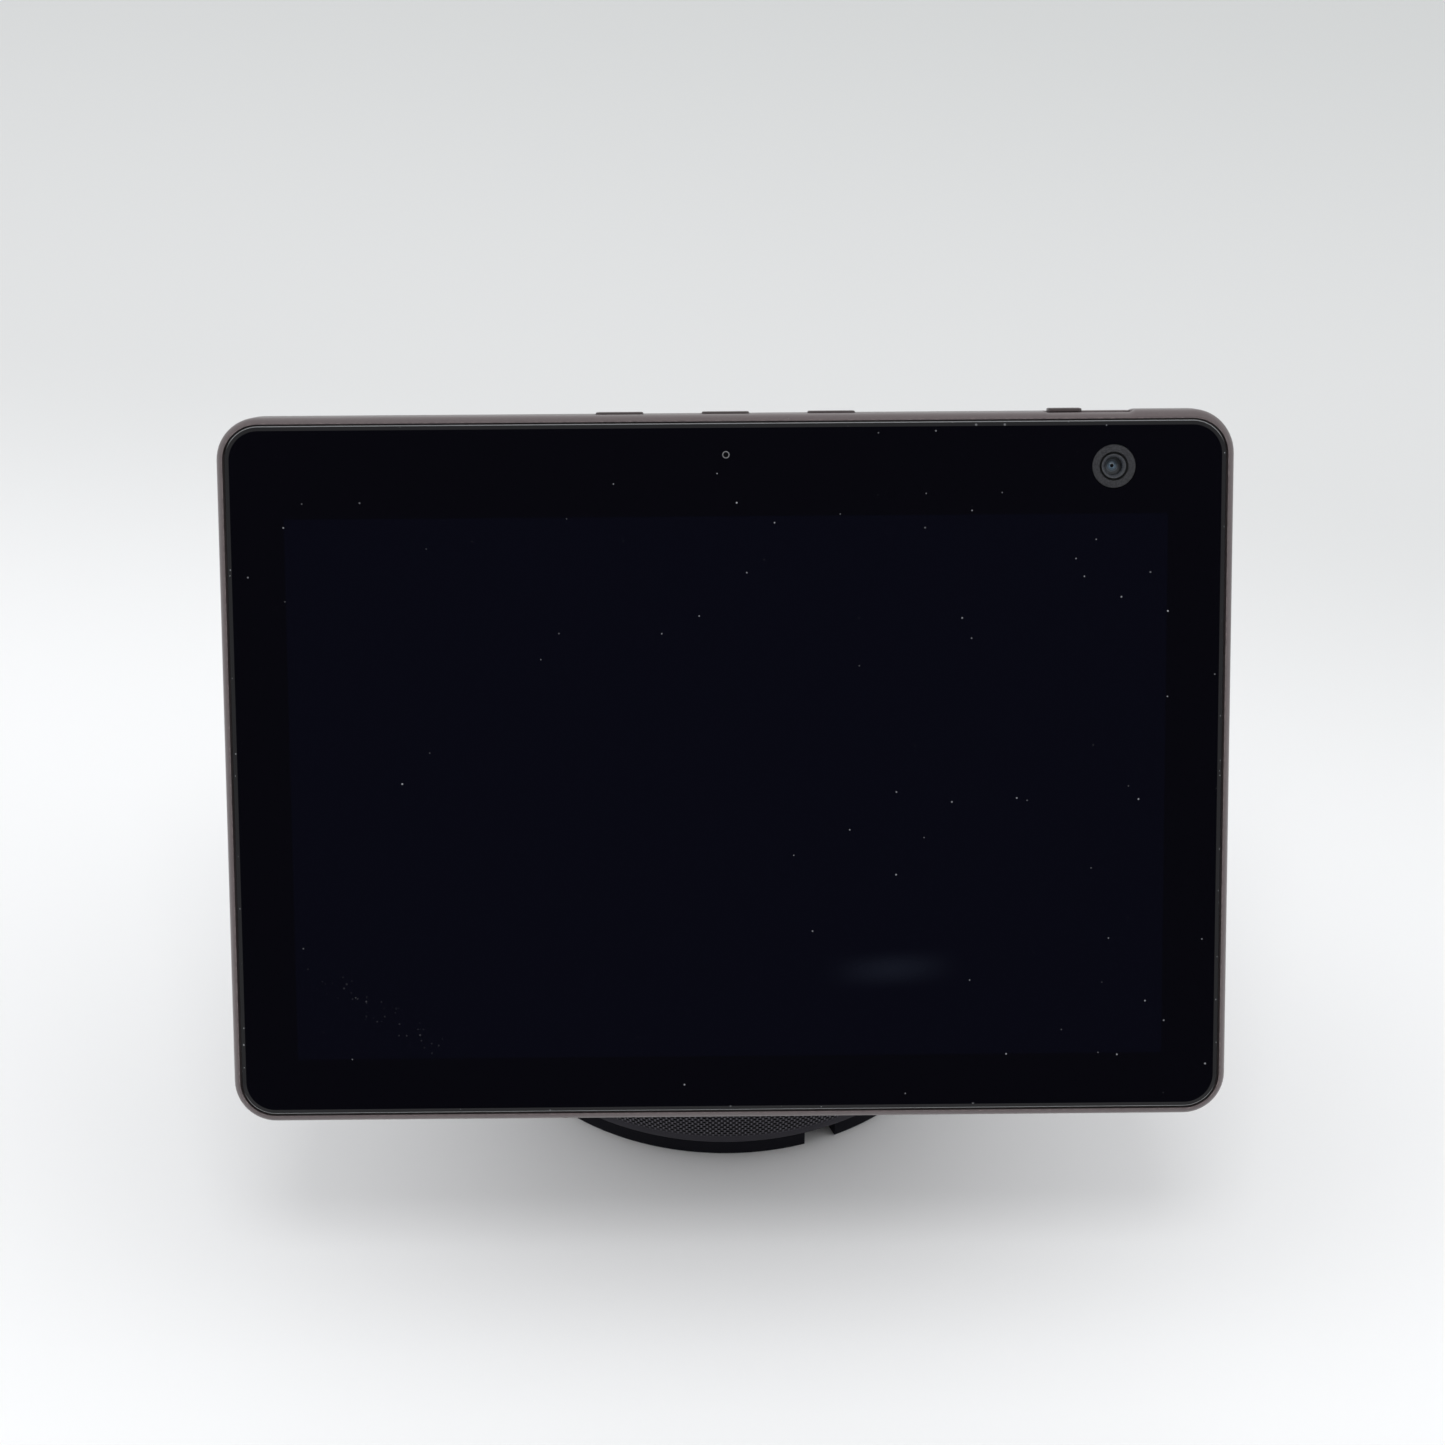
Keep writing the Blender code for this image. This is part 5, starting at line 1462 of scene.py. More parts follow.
@dataclass
class DisplayPanel:
    """The tilting panel: frame, cover glass and rear cover."""

    width: float = 251.0 * MM
    height: float = 177.6 * MM
    depth: float = 18.5 * MM
    corner: float = 10.5 * MM
    frame_depth: float = 9.5 * MM
    frame_wall: float = 2.2 * MM
    frame_edge: float = 0.25 * MM
    lip: float = 1.7 * MM
    lip_round: Pair = (0.16 * MM, 0.12 * MM)
    undercut: float = 0.38 * MM
    lip_steps: int = 5
    rim_depth: float = 2.6 * MM
    rim_steps: int = 10
    channel: Pair = (2.3 * MM, 2.3 * MM)
    ledge: float = 5.2 * MM
    ledge_front: float = 1.5 * MM
    ledge_back: float = 2.9 * MM
    glass_inset: float = 2.12 * MM
    glass_thick: float = 1.2 * MM
    glass_edge: Pair = (0.96 * MM, 0.43 * MM)
    glass_tight: float = 0.04
    glass_arris: Pair = (0.17 * MM, 0.20 * MM)
    arris_bend: Pair = (0.25, 0.45)
    track_span: Pair = (79.0 * MM, 98.9 * MM)
    track_blend: float = 0.3 * MM
    track_dip: float = -0.15 * MM
    rise: Pair = (99.3 * MM, 101.4 * MM)
    rise_height: float = 0.45 * MM
    rise_steps: int = 6
    cover_front: float = 9.8 * MM
    cover_wall: float = 2.4 * MM
    cover_flat: float = 0.3 * MM
    back_round: float = 6.0 * MM
    back_steps: int = 10
    inner_steps: int = 6
    hinge: Point = (0.0, -63.8 * MM, 119.3 * MM)
    hinge_behind: float = 31.0 * MM
    hinge_below: float = 14.4 * MM
    lean: float = math.radians(28.9)
    lug: Pair = (32.7 * MM, 39.7 * MM)
    lug_radius: float = 9.0 * MM
    slot_gap: float = 0.6 * MM
    slot_corner: float = 1.0 * MM
    slot_steps: int = 5
    steps: int = 14
    seat: Matrix = field(init=False)

    def __post_init__(self) -> None:
        """Works out where the panel's axes lie."""
        turn = Matrix.Rotation(-self.lean, 4, "X")
        offset = Matrix.Translation((0.0, -self.hinge_behind, self.hinge_below))
        self.seat = Matrix.Translation(self.hinge) @ turn @ offset

    def outline(self, inset: float) -> list[Pair]:
        """Gives the panel's outline, drawn in by an inset."""
        width, height = self.width - 2 * inset, self.height - 2 * inset
        return rounded_outline(width, height, self.corner - inset, self.steps)

    def loop(self, inset: float, behind: float) -> Loop:
        """Gives the panel's outline, drawn in by an inset, at a depth behind the glass."""
        return [(x, behind, z) for x, z in self.outline(inset)]

    def lift(self, x: float) -> float:
        """Finds how far the top edge stands off its straight line: low by the shutter, high past it.

        Args:
            x: The place across.

        Returns:
            The height above the line.
        """
        if x < self.track_span[0]:
            return 0.0
        if x <= self.track_span[1]:
            return self.track_dip
        share = min(max((x - self.rise[0]) / (self.rise[1] - self.rise[0]), 0.0), 1.0)
        share *= share * (3 - 2 * share)
        return self.track_dip + (self.rise_height - self.track_dip) * share

    def frame_loop(self, inset: float, behind: float) -> Loop:
        """Gives the frame's outline, with its top edge stepped beside the shutter.

        Args:
            inset: How far it is drawn in; the step dies away towards the lip.
            behind: Its depth behind the glass.

        Returns:
            The loop's points.
        """
        outline = self.outline(inset)
        foot, head = self.rise
        counts = range(self.rise_steps, -1, -1)
        ramp = [foot + (head - foot) * count / self.rise_steps for count in counts]
        start, end = self.track_span
        marks = [*ramp, end, start + self.track_blend, start - self.track_blend]
        split = self.steps + 1
        top = self.height / 2 - inset
        outline[split:split] = [(x, top) for x in marks]
        weight = max(1 - inset / self.lip, 0.0)
        bend = self.height / 2 - self.corner
        loop = []
        for x, z in outline:
            share = max((z - bend) / (self.corner - inset), 0.0)
            loop.append((x, behind, z + weight * share * self.lift(x)))
        return loop

    def build(self, workshop: Workshop, controls: TopControls, eyes: GlassEyes) -> None:
        """Builds the frame, the glass and the rear cover.

        Args:
            workshop: Makes the pieces.
            controls: Gives the openings in the top edge.
            eyes: Gives the openings in the glass.
        """
        workshop.piece(
            "frame_shell", self.frame_shape(), self.seat, "display", Finishes.charcoal, ["display_frame"],
            cuts=controls.openings())
        workshop.piece(
            "glass_pane", self.glass_shape(), self.seat, "display", Finishes.glass, ["front_glass"],
            cuts=eyes.openings())
        workshop.piece(
            "rear_shell", self.cover_shape(), self.seat, "display", Finishes.charcoal, ["rear_cover"],
            cuts=self.lug_openings())

    def frame_shape(self) -> Shape:
        """Draws the frame: a rolled rim, a channel under its lip, a ledge for the glass and a wall.

        Returns:
            The frame.
        """
        edge = self.frame_edge
        section = [(self.frame_wall, self.frame_depth), (edge, self.frame_depth),
                   (0.0, self.frame_depth - edge), (0.0, self.rim_depth + edge)]
        fold, drop = self.lip_round
        section += arc(self.lip - fold, self.rim_depth, self.rim_steps)
        folded = arc(fold, drop, self.lip_steps)[:-1]
        section += [(self.lip - inset, behind) for inset, behind in reversed(folded)]
        side, floor = self.channel
        section += [(self.lip - self.undercut, floor), (side, floor), (side, self.ledge_front),
                    (self.ledge, self.ledge_front), (self.ledge, self.ledge_back),
                    (self.frame_wall, self.ledge_back)]
        return Shape().loft([self.frame_loop(*pair) for pair in section], wrap=True)

    def glass_shape(self) -> Shape:
        """Draws the glass, with a low bevel ground round its face and a rounded arris.

        Returns:
            The glass.
        """
        width, depth = self.glass_edge
        cut, fall = self.glass_arris
        over, down = self.arris_bend
        tight = self.glass_tight
        section = [(0.0, self.glass_thick), (0.0, depth + fall), (over * cut, depth + down * fall)]
        for share in (0.0, tight, 1 - tight, 1.0):
            section.append((cut + width * share, depth * (1 - share)))
        section.append((cut + width * (1 + tight), 0.0))
        return Shape().loft([self.loop(self.glass_inset + inset, behind) for inset, behind in section])

    def cover_shape(self) -> Shape:
        """Draws the rear cover: a shell with a rolled back edge.

        Returns:
            The cover.
        """
        wall, inner = self.cover_wall, self.back_round - self.cover_wall
        flat = self.cover_flat
        bent = arc(inner, inner, self.inner_steps)
        inside = [(wall + inset, self.depth - wall - behind) for inset, behind in bent]
        rolled = arc(self.back_round, self.back_round, self.back_steps)
        outside = [(inset, self.depth - behind) for inset, behind in rolled]
        section = [(self.back_round + flat, self.depth - wall), *reversed(inside), (wall, self.cover_front),
                   (flat, self.cover_front), (0.0, self.cover_front + flat), *outside,
                   (self.back_round + flat, self.depth)]
        return Shape().loft([self.loop(*pair) for pair in section])

    def lug_openings(self) -> list[Shape]:
        """Draws the two slots that the hinge lugs come out of.

        Returns:
            The shapes to cut.
        """
        near, far = self.lug
        tall = 2 * (self.lug_radius + self.slot_gap)
        outline = rounded_outline(far - near + self.slot_gap, tall, self.slot_corner, self.slot_steps)
        slots = []
        for side in (-1.0, 1.0):
            middle = side * (near + far) / 2
            slots.append(Shape().loft([
                [(middle + x, behind, z - self.hinge_below) for x, z in outline]
                for behind in (self.frame_depth, 2 * self.depth)]))
        return slots


@dataclass
class GlassEyes:
    """What looks out through the glass: the camera behind its ring, and the light sensor."""

    camera: Pair = Finishes.camera_eye
    ring_radius: float = 5.35 * MM
    ring_back: float = 2.9 * MM
    ring_roll: tuple[Pair, ...] = ((0.0, 0.20 * MM), (0.04 * MM, 0.12 * MM), (0.12 * MM, 0.08 * MM))
    ring_lip: tuple[Pair, ...] = ((0.08 * MM, 0.08 * MM), (0.0, 0.16 * MM))
    groove: Pair = (3.02 * MM, 3.56 * MM)
    groove_floor: float = 0.9 * MM
    collar: tuple[Pair, ...] = ((0.0, 0.34 * MM), (0.06 * MM, 0.26 * MM), (0.2 * MM, 0.3 * MM))
    aperture: float = 2.25 * MM
    throat: tuple[Pair, ...] = ((0.2 * MM, 0.8 * MM), (0.0, 1.1 * MM))
    lens_radius: float = 2.5 * MM
    lens_tip: float = 0.05 * MM
    lens_front: float = 4.0 * MM
    lens_back: float = 6.9 * MM
    lens_curve: float = 3.2 * MM
    lens_rows: int = 12
    lens_steps: int = 48
    sensor: Pair = Finishes.sensor_eye
    sensor_radius: float = 0.9 * MM
    sensor_roll: tuple[Pair, ...] = ((0.0, 0.12 * MM), (0.06 * MM, 0.06 * MM))
    well: float = 0.62 * MM
    well_lip: tuple[Pair, ...] = ((0.06 * MM, 0.06 * MM), (0.0, 0.14 * MM), (0.0, 0.50 * MM))
    well_floor: tuple[Pair, ...] = ((0.30 * MM, 0.46 * MM), (0.08 * MM, 0.44 * MM))
    sensor_steps: int = 40
    hole: Pair = (-1.0 * MM, 3.0 * MM)
    gap: float = 0.12 * MM
    steps: int = 72

    def openings(self) -> list[Shape]:
        """Draws the two round holes in the glass.

        Returns:
            The shapes to cut.
        """
        holes = []
        for middle, radius in ((self.camera, self.ring_radius), (self.sensor, self.sensor_radius)):
            profile = [(radius + self.gap, behind) for behind in self.hole]
            holes.append(Shape().turned(Axis.Y, profile, self.steps, middle, ring=False))
        return holes

    def build(self, workshop: Workshop, panel: DisplayPanel) -> None:
        """Builds the ring, the lens and the sensor.

        Args:
            workshop: Makes the pieces.
            panel: Gives the panel's axes.
        """
        inner, outer = self.groove
        ring = [(self.ring_radius, self.ring_back)]
        ring += [(self.ring_radius - inset, behind) for inset, behind in self.ring_roll]
        ring += [(outer + reach, behind) for reach, behind in self.ring_lip]
        ring += [(outer, self.groove_floor), (inner, self.groove_floor)]
        ring += [(inner - inset, behind) for inset, behind in self.collar]
        ring += [(self.aperture + reach, behind) for reach, behind in self.throat]
        ring.append((self.aperture, self.ring_back))
        workshop.piece(
            "eye_ring", Shape().turned(Axis.Y, ring, self.steps, self.camera), panel.seat, "display",
            Finishes.eye_ring, ["camera_trim_ring"])
        workshop.piece(
            "eye_lens", self.lens_shape(), panel.seat, "display", Finishes.lens, ["camera_lens"])
        sensor = [(self.sensor_radius, self.ring_back)]
        sensor += [(self.sensor_radius - inset, behind) for inset, behind in self.sensor_roll]
        sensor += [(self.well + reach, behind) for reach, behind in self.well_lip]
        sensor += self.well_floor
        dish = Shape().turned(Axis.Y, sensor, self.sensor_steps, self.sensor, ring=False)
        workshop.piece("sensor_eye", dish, panel.seat, "display", Finishes.sensor, ["light_sensor"])

    def lens_shape(self) -> Shape:
        """Draws the lens: a short rod with a domed front.

        Returns:
            The lens.
        """
        reach = math.asin(self.lens_radius / self.lens_curve)
        lens = [(self.lens_tip, self.lens_front)]
        for row in range(1, self.lens_rows + 1):
            turn = reach * row / self.lens_rows
            fall = self.lens_curve * (1 - math.cos(turn))
            lens.append((self.lens_curve * math.sin(turn), self.lens_front + fall))
        lens.append((self.lens_radius, self.lens_back))
        return Shape().turned(Axis.Y, lens, self.lens_steps, self.camera, ring=False)


@dataclass
class TopControls:
    """Three push keys and the sliding shutter on the panel's top edge."""

    top: float = 88.8 * MM
    wall: float = 2.2 * MM
    pitch: float = 26.2 * MM
    key_width: float = 11.8 * MM
    key_depth: float = 3.0 * MM
    key_behind: float = 6.4 * MM
    key_proud: float = 0.55 * MM
    key_round: float = 0.40 * MM
    key_steps: int = 5
    key_corner: float = 1.1 * MM
    least_corner: float = 0.05 * MM
    flange: Pair = (85.5 * MM, 86.3 * MM)
    flange_reach: float = 1.3 * MM
    flange_corner: float = 0.6 * MM
    fit: float = 0.3 * MM
    slider_x: float = 83.8 * MM
    slider_travel: float = 11.6 * MM
    slider_width: float = 8.3 * MM
    slider_depth: Pair = (2.9 * MM, 8.0 * MM)
    slider_height: Pair = (88.7 * MM, 89.6 * MM)
    slider_corner: float = 0.8 * MM
    slider_break: float = 0.15 * MM
    slider_roll: float = 0.35 * MM
    slider_steps: int = 4
    slider_flat: float = 0.42 * MM
    stem: Pair = (3.3 * MM, 4.5 * MM)
    stem_half: float = 1.5 * MM
    stem_low: float = 82.2 * MM
    stem_gap: float = 0.4 * MM
    track: Pair = (1.9 * MM, 8.3 * MM)
    track_floor: float = 88.4 * MM
    track_margin: float = 0.8 * MM
    track_corner: float = 0.9 * MM
    grips: int = 5
    grip_pitch: float = 1.1 * MM
    grip_radius: float = 0.24 * MM
    grip_above: float = 0.1 * MM
    grip_end: float = 0.9 * MM
    grip_steps: int = 12
    steps: int = 6

    def keys(self) -> tuple[tuple[str, str, str, float], ...]:
        """Lists the three keys, from left to right.

        Returns:
            Each key's piece, body, node and place across.
        """
        return (
            ("down_key", "volume_down", "volume_down_button", -self.pitch),
            ("up_key", "volume_up", "volume_up_button", 0.0),
            ("privacy_key", "privacy", "privacy_button", self.pitch),
        )

    def plate(self, middle: Pair, size: Pair, corner: float, levels: Sequence[Pair]) -> Shape:
        """Gives an upright rounded block.

        Args:
            middle: Its middle across and behind the glass.
            size: Its width and depth.
            corner: Its corner radius.
            levels: Pairs of inset and height, from its foot up.

        Returns:
            The block.
        """
        loops = []
        for inset, height in levels:
            bend = max(corner - inset, self.least_corner)
            outline = rounded_outline(size[0] - 2 * inset, size[1] - 2 * inset, bend, self.steps)
            loops.append([(middle[0] + x, middle[1] + y, height) for x, y in outline])
        return Shape().loft(loops)

    def openings(self) -> list[Shape]:
        """Draws the key slots, the shutter's track and the slot for its stem.

        Returns:
            The shapes to cut.
        """
        under, over = self.top - 2 * self.wall, self.top + self.wall
        size = (self.key_width + 2 * self.fit, self.key_depth + 2 * self.fit)
        cuts = [
            self.plate((x, self.key_behind), size, self.key_corner + self.fit, [(0.0, under), (0.0, over)])
            for *_, x in self.keys()]
        left = self.slider_x - self.slider_width / 2 - self.track_margin
        right = self.slider_x + self.slider_travel + self.slider_width / 2 + self.track_margin
        middle = ((left + right) / 2, sum(self.track) / 2)
        span = (right - left, self.track[1] - self.track[0])
        cuts.append(self.plate(middle, span, self.track_corner, [(0.0, self.track_floor), (0.0, over)]))
        reach = self.stem_half + self.stem_gap
        low = (self.slider_x - reach, self.stem[0] - self.fit, under)
        high = (self.slider_x + self.slider_travel + reach, self.stem[1] + self.fit, over)
        cuts.append(Shape().block(low, high))
        return cuts

    def build(self, workshop: Workshop, panel: DisplayPanel) -> None:
        """Builds the keys and the shutter's slider.

        Args:
            workshop: Makes the pieces.
            panel: Gives the panel's axes.
        """
        for name, body, node, x in self.keys():
            workshop.piece(name, self.key_shape(x), panel.seat, body, Finishes.satin, [node])
        foot, head = self.slider_height
        edge = arc(self.slider_roll, self.slider_roll, self.slider_steps)
        rolled = [(inset, head - depth) for inset, depth in edge]
        levels = [(self.slider_break, foot), (0.0, foot + self.slider_break), *rolled,
                  (self.slider_flat, head)]
        middle = (self.slider_x, sum(self.slider_depth) / 2)
        size = (self.slider_width, self.slider_depth[1] - self.slider_depth[0])
        ends = (self.slider_depth[0] + self.grip_end, self.slider_depth[1] - self.grip_end)
        profile = [(self.grip_radius, end) for end in ends]
        grooves = []
        for index in range(self.grips):
            x = self.slider_x + (index - (self.grips - 1) / 2) * self.grip_pitch
            axis = (x, head + self.grip_above)
            grooves.append(Shape().turned(Axis.Y, profile, self.grip_steps, axis, ring=False))
        low = (self.slider_x - self.stem_half, self.stem[0], self.stem_low)
        high = (self.slider_x + self.stem_half, self.stem[1], foot + self.fit)
        workshop.piece(
            "shutter_slider", self.plate(middle, size, self.slider_corner, levels), panel.seat, "shutter",
            Finishes.satin, ["shutter_knob"], cuts=grooves, joins=[Shape().block(low, high)])

    def key_shape(self, x: float) -> Shape:
        """Gives one key: a flange under the frame's wall and a cap with a rolled edge.

        Args:
            x: The key's place across.

        Returns:
            The key.
        """
        low, high = self.flange
        head = self.top + self.key_proud
        loops = []
        wide, deep = self.key_width + 2 * self.flange_reach, self.key_depth - 2 * self.fit
        for height in (low, high):
            outline = rounded_outline(wide, deep, self.flange_corner, self.steps)
            loops.append([(x + across, self.key_behind + along, height) for across, along in outline])
        edge = arc(self.key_round, self.key_round, self.key_steps)
        rolled = [(inset, head - depth) for inset, depth in edge]
        for inset, height in [(0.0, high), *rolled, (self.key_round + self.least_corner, head)]:
            outline = rounded_outline(
                self.key_width - 2 * inset, self.key_depth - 2 * inset, self.key_corner - inset, self.steps)
            loops.append([(x + across, self.key_behind + along, height) for across, along in outline])
        return Shape().loft(loops)


@dataclass
class TiltHinge:
    """The bracket behind the panel, whose two lugs carry the tilt shaft, and the caps on its ends."""

    plate: Pair = (6.3 * MM, 8.8 * MM)
    plate_half: Pair = (53.7 * MM, 23.0 * MM)
    plate_corner: float = 4.0 * MM
    plate_steps: int = 6
    bore: float = 4.3 * MM
    edge: float = 0.8 * MM
    edge_steps: int = 4
    lug_sink: float = 1.2 * MM
    screw_x: float = 46.7 * MM
    screw_up: float = 16.0 * MM
    screw_hole: float = 1.8 * MM
    screw_steps: int = 24
    cap: Pair = (40.0 * MM, 41.7 * MM)
    cap_radius: float = 8.0 * MM
    cap_break: float = 0.1 * MM
    cap_roll: float = 0.7 * MM
    cap_roll_steps: int = 5
    cap_groove: tuple[Pair, ...] = (
        (1.6 * MM, 0.0), (1.75 * MM, 0.2 * MM), (2.05 * MM, 0.2 * MM), (2.2 * MM, 0.0))
    cap_middle: float = 2.0 * MM
    cap_steps: int = 64
    steps: int = 40

    def lug_loop(self, panel: DisplayPanel, along: float, inset: float) -> Loop:
        """Gives a lug's outline at one place across, drawn in by an inset.

        Args:
            panel: Gives the hinge's place.
            along: The place across.
            inset: How far it is drawn in.

        Returns:
            The loop's points.
        """
        radius = panel.lug_radius - inset
        start = self.plate[1] - self.lug_sink
        loop = [(along, start, -panel.hinge_below - radius)]
        for index in range(self.steps + 1):
            turn = -math.pi / 2 + math.pi * index / self.steps
            loop.append((along, panel.hinge_behind + radius * math.cos(turn),
                         -panel.hinge_below + radius * math.sin(turn)))
        loop.append((along, start, -panel.hinge_below + radius))
        return loop

    def build(self, workshop: Workshop, panel: DisplayPanel) -> None:
        """Builds the bracket and its caps.

        Args:
            workshop: Makes the pieces.
            panel: Gives the panel's axes and the hinge's place.
        """
        wide, tall = self.plate_half
        outline = rounded_outline(2 * wide, 2 * tall, self.plate_corner, self.plate_steps)
        plate = Shape().loft([
            [(x, behind, z - panel.hinge_below) for x, z in outline] for behind in self.plate])
        axis = (panel.hinge_behind, -panel.hinge_below)
        lugs = []
        for side in (-1.0, 1.0):
            near, far = panel.lug
            rolled = arc(self.edge, self.edge, self.edge_steps)
            ends = [(near + depth, inset) for inset, depth in reversed(rolled)]
            ends += [(far - depth, inset) for inset, depth in rolled]
            lugs.append(Shape().loft([self.lug_loop(panel, side * along, inset) for along, inset in ends]))
        through = [(self.bore, -wide), (self.bore, wide)]
        holes = [Shape().turned(Axis.X, through, self.steps, axis, ring=False)]
        for x in (-self.screw_x, self.screw_x):
            profile = [(self.screw_hole, 0.0), (self.screw_hole, panel.depth)]
            middle = (x, self.screw_up - panel.hinge_below)
            holes.append(Shape().turned(Axis.Y, profile, self.screw_steps, middle, ring=False))
        workshop.piece(
            "hinge_lugs", plate, panel.seat, "display", Finishes.satin, ["hinge_bracket"],
            cuts=holes, joins=lugs)
        caps = ((-1.0, "cap_left", "hinge_cap_left"), (1.0, "cap_right", "hinge_cap_right"))
        for side, name, node in caps:
            profile = [(radius, side * along) for radius, along in self.cap_profile()]
            shape = Shape().turned(Axis.X, profile, self.cap_steps, axis, ring=False)
            workshop.piece(name, shape, panel.seat, "display", Finishes.satin, [node])

    def cap_profile(self) -> list[Pair]:
        """Draws half a section of a cap, with a rolled edge and a shallow groove in its face.

        Returns:
            Pairs of radius and place along the hinge.
        """
        near, far = self.cap
        rolled = arc(self.cap_roll, self.cap_roll, self.cap_roll_steps)
        profile = [(self.cap_radius - self.cap_break, near), (self.cap_radius, near + self.cap_break)]
        profile += [(self.cap_radius - inset, far - depth) for inset, depth in (*rolled, *self.cap_groove)]
        profile.append((self.cap_middle, far))
        return profile


@dataclass
class Arm:
    """The cover of the arm between the turntable and the hinge."""

    half: float = 32.0 * MM
    barrel: float = 11.2 * MM
    front: float = -42.0 * MM
    back: float = 36.0 * MM
    seat_level: float = 100.5 * MM
    edge: float = 5.0 * MM
    rolled: float = 3.0 * MM
    rolled_steps: int = 6
    wall: float = 2.4 * MM
    bore: float = 4.3 * MM
    bore_steps: int = 40
    steps: int = 144

    def outline(self, panel: DisplayPanel, inset: float, floor: float) -> list[Pair]:
        """Gives the arm's side view, drawn in by an inset.

        Args:
            panel: Gives the hinge's place.
            inset: How far inside the outer face.
            floor: The level of its foot.

        Returns:
            Points behind and up, in order, as many for every inset.
        """
        corner = max(self.rolled - inset, 0.0)
        discs = [
            (panel.hinge[1], panel.hinge[2], self.barrel - inset),
            (self.back - inset - corner, self.seat_level + self.edge - inset - corner, corner),
            (self.back - inset, floor, 0.0),
            (self.front + inset, floor, 0.0),
        ]
        points = []
        for index in range(self.steps):
            turn = 2 * math.pi * (index + 0.5) / self.steps
            way = (math.cos(turn), math.sin(turn))
            y, z, radius = max(discs, key=lambda disc: disc[0] * way[0] + disc[1] * way[1] + disc[2])
            points.append((y + radius * way[0], z + radius * way[1]))
        return points

    def build(self, workshop: Workshop, panel: DisplayPanel) -> None:
        """Builds the hollow cover.

        Args:
            workshop: Makes the piece.
            panel: Gives the hinge's place.
        """
        ends = arc(self.rolled, self.rolled, self.rolled_steps)
        rows = [(-self.half + depth, inset) for inset, depth in reversed(ends)]
        rows += [(self.half - depth, inset) for inset, depth in ends]
        outside = Shape().loft([
            [(x, y, z) for y, z in self.outline(panel, inset, self.seat_level)] for x, inset in rows])
        room = self.half - self.wall
        inside = Shape().loft([
            [(x, y, z) for y, z in self.outline(panel, self.wall, self.seat_level - self.wall)]
            for x in (-room, room)])
        through = [(self.bore, -2 * self.half), (self.bore, 2 * self.half)]
        hole = Shape().turned(Axis.X, through, self.bore_steps, panel.hinge[1:], ring=False)
        workshop.piece(
            "arm_cover", outside, Matrix.Identity(4), "turntable", Finishes.charcoal, ["neck_cover"],
            cuts=[inside, hole])


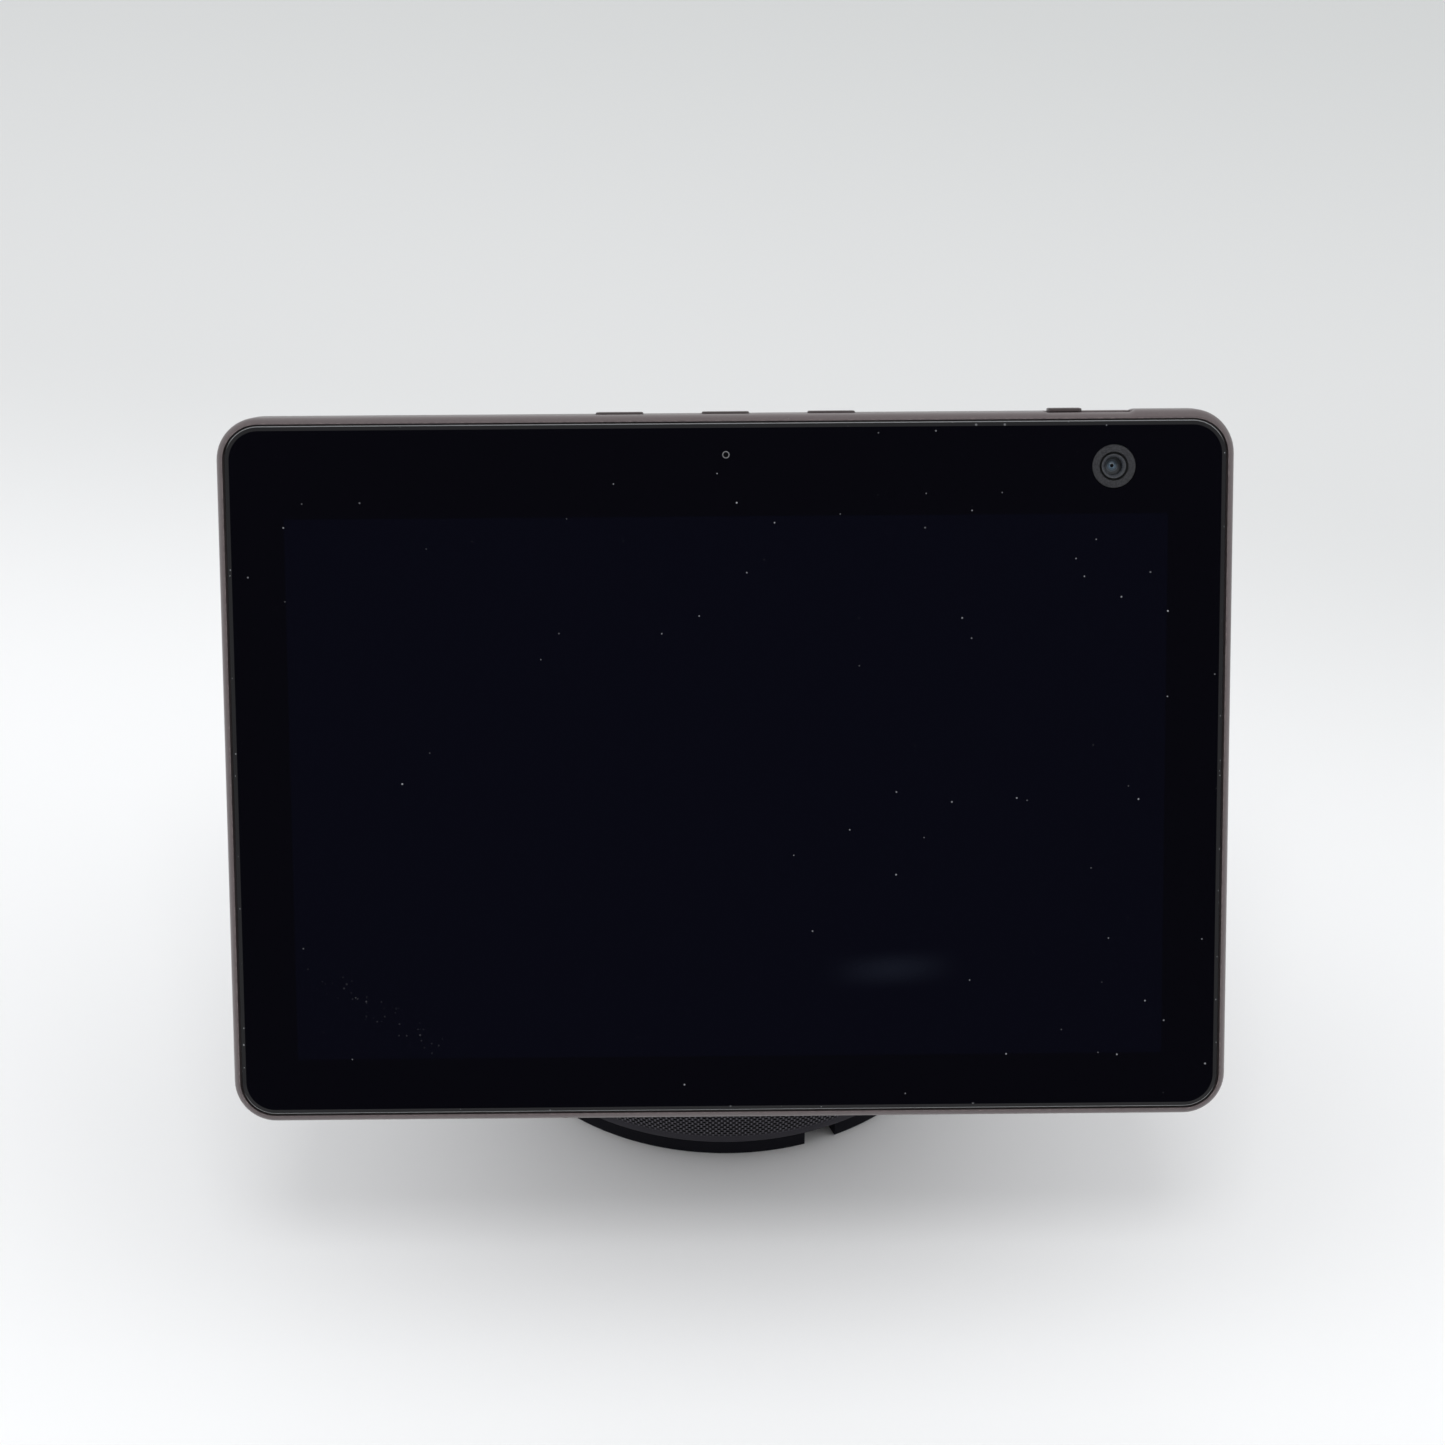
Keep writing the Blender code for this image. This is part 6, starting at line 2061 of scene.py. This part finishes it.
@dataclass
class SpeakerBase:
    """The round base: foot, knitted sleeve, top ring and the turntable's deck."""

    turn: float = math.radians(-158.0)
    foot_radius: float = 70.0 * MM
    foot_height: float = 4.7 * MM
    foot_edge: float = 0.8 * MM
    foot_edge_steps: int = 4
    foot_brow: float = 0.3 * MM
    foot_brow_steps: int = 3
    channel_half: float = 4.7 * MM
    pocket_half: float = 9.0 * MM
    pocket: Pair = (22.4 * MM, 55.0 * MM)
    sleeve_radius: float = 71.0 * MM
    sleeve_thick: float = 1.2 * MM
    sleeve: Pair = (5.0 * MM, 92.1 * MM)
    sleeve_hem: float = 0.15 * MM
    sleeve_rolls: Pair = (2.4 * MM, 1.4 * MM)
    sleeve_roll_steps: int = 6
    sleeve_rows: int = 24
    ring_inner: float = 63.0 * MM
    ring: Pair = (92.4 * MM, 100.2 * MM)
    ring_break: float = 0.2 * MM
    shoulder_depth: float = 4.0 * MM
    shoulder_steps: int = 10
    ring_land: float = 1.2 * MM
    ring_lip: Pair = (0.3 * MM, 0.08 * MM)
    deck_radius: float = 62.4 * MM
    deck_roll: float = 0.6 * MM
    deck_roll_steps: int = 5
    deck_flat: float = 0.8 * MM
    deck_inner: float = 26.8 * MM
    deck_under: float = 97.2 * MM
    deck_hem: float = 93.6 * MM
    deck_skirt: float = 3.0 * MM
    stop_circle: float = 45.0 * MM
    stop_half: float = 1.8 * MM
    stop_low: float = 92.7 * MM
    stop_sunk: float = 0.3 * MM
    steps: int = 192

    def build(self, workshop: Workshop) -> None:
        """Builds the base from the floor up.

        Args:
            workshop: Makes the pieces.
        """
        self.build_foot(workshop)
        self.build_sleeve(workshop)
        self.build_ring(workshop)
        self.build_deck(workshop)

    def build_foot(self, workshop: Workshop) -> None:
        """Builds the foot, with the cord's channel and the plug's pocket.

        Args:
            workshop: Makes the piece.
        """
        radius, edge = self.foot_radius, self.foot_edge
        rolled = arc(edge, edge, self.foot_edge_steps)
        brow = arc(self.foot_brow, self.foot_brow, self.foot_brow_steps)
        low = [(radius - inset, depth) for inset, depth in reversed(rolled)]
        high = [(radius - inset, self.foot_height - depth) for inset, depth in brow]
        profile = [(radius - 2 * edge, 0.0), *low, *high, (radius - 2 * edge, self.foot_height)]
        over = 2 * self.foot_height
        inner, outer = self.pocket
        wide, narrow = self.pocket_half, self.channel_half
        cuts = [
            Shape().block((-wide, inner, -over), (wide, outer, over)),
            Shape().block((-narrow, outer - self.foot_height, -over), (narrow, 2 * radius, over)),
        ]
        for cut in cuts:
            cut.moved(Matrix.Rotation(self.turn, 4, "Z"))
        foot = Shape().turned(Axis.Z, profile, self.steps, ring=False)
        workshop.piece(
            "foot_ring", foot, Matrix.Identity(4), "base", Finishes.rubber, ["foot_pad"], cuts=cuts)

    def build_sleeve(self, workshop: Workshop) -> None:
        """Builds the knitted sleeve, turned in at both ends.

        Args:
            workshop: Makes the piece.
        """
        low, high = self.sleeve
        outer, inner = self.sleeve_radius, self.sleeve_radius - self.sleeve_thick
        tuck = self.sleeve_thick - self.sleeve_hem
        under, over = (arc(tuck, depth, self.sleeve_roll_steps) for depth in self.sleeve_rolls)
        foot = [(outer - inset, low + depth) for inset, depth in reversed(under)]
        head = [(outer - inset, high - depth) for inset, depth in over]
        rows = self.sleeve_rows
        start, end = foot[-1][1], head[0][1]
        wall = [(outer, start + (end - start) * index / rows) for index in range(1, rows)]
        profile = [(inner, low), *foot, *wall, *head, (inner, high)]
        sleeve = workshop.piece(
            "knit_sleeve", Shape().turned(Axis.Z, profile, self.steps), Matrix.Identity(4), "base",
            Finishes.knit, ["fabric_sleeve"])

    def build_ring(self, workshop: Workshop) -> None:
        """Builds the ring round the turntable, with its rolled shoulder.

        Args:
            workshop: Makes the piece.
        """
        low, high = self.ring
        outer, inner = self.sleeve_radius, self.ring_inner
        shoulder = arc(outer - inner - self.ring_land, self.shoulder_depth, self.shoulder_steps)
        lip, turn = self.ring_lip
        profile = [(inner, low), (outer - self.ring_break, low), (outer, low + self.ring_break)]
        profile += [(outer - inset, high - depth) for inset, depth in shoulder]
        profile += [(inner + lip, high), (inner + turn, high - turn), (inner, high - lip)]
        workshop.piece(
            "crown_ring", Shape().turned(Axis.Z, profile, self.steps), Matrix.Identity(4), "base",
            Finishes.satin, ["top_ring"])

    def build_deck(self, workshop: Workshop) -> None:
        """Builds the turning deck inside the ring, with the stop under it.

        Args:
            workshop: Makes the piece.
        """
        outer, top = self.deck_radius, self.ring[1]
        skirt = outer - self.deck_skirt
        rolled = arc(self.deck_roll, self.deck_roll, self.deck_roll_steps)
        edge = [(outer - inset, top - depth) for inset, depth in rolled]
        profile = [(self.deck_inner, self.deck_under), (skirt, self.deck_under), (skirt, self.deck_hem),
                   (outer, self.deck_hem), *edge, (outer - self.deck_flat, top), (self.deck_inner, top)]
        half = self.stop_half
        stop = Shape().block(
            (-half, self.stop_circle - half, self.stop_low),
            (half, self.stop_circle + half, self.deck_under + self.stop_sunk))
        workshop.piece(
            "deck_disc", Shape().turned(Axis.Z, profile, self.steps), Matrix.Identity(4), "turntable",
            Finishes.satin, ["turntable_deck"], joins=[stop])


@dataclass
class InnerParts:
    """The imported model's own solids that stay as they are, finished by their material slot."""

    finishes: tuple[Finish, ...] = (
        Finishes.black, Finishes.rubber, Finishes.steel, Finishes.aluminium, Finishes.board,
        Finishes.winding, Finishes.ferrite, Finishes.cone, Finishes.polymer, Finishes.screen)

    def build(self, workshop: Workshop) -> None:
        """Dresses every node that no piece stands for.

        Args:
            workshop: Holds the nodes and the finishes.
        """
        by_slot = {finish.slot: finish for finish in self.finishes}
        for part in workshop.record["subparts"]:
            name = part["node"]
            if not workshop.nodes[name].hide_render:
                workshop.dress(name, by_slot[part["material_slot"]])


def main() -> None:
    """Builds the studio and every piece in order, and reports each one."""
    logging.basicConfig(level=logging.INFO, format="%(name)s: %(message)s")
    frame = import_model()
    workshop = Workshop(frame)
    PhotoCamera().build()
    Studio().build(workshop)
    panel, eyes, controls = DisplayPanel(), GlassEyes(), TopControls()
    panel.build(workshop, controls, eyes)
    eyes.build(workshop, panel)
    controls.build(workshop, panel)
    TiltHinge().build(workshop, panel)
    Arm().build(workshop, panel)
    SpeakerBase().build(workshop)
    InnerParts().build(workshop)
    LOG.info("%d pieces over %d nodes", len(workshop.pieces), len(workshop.nodes))


if __name__ == "__main__":
    main()
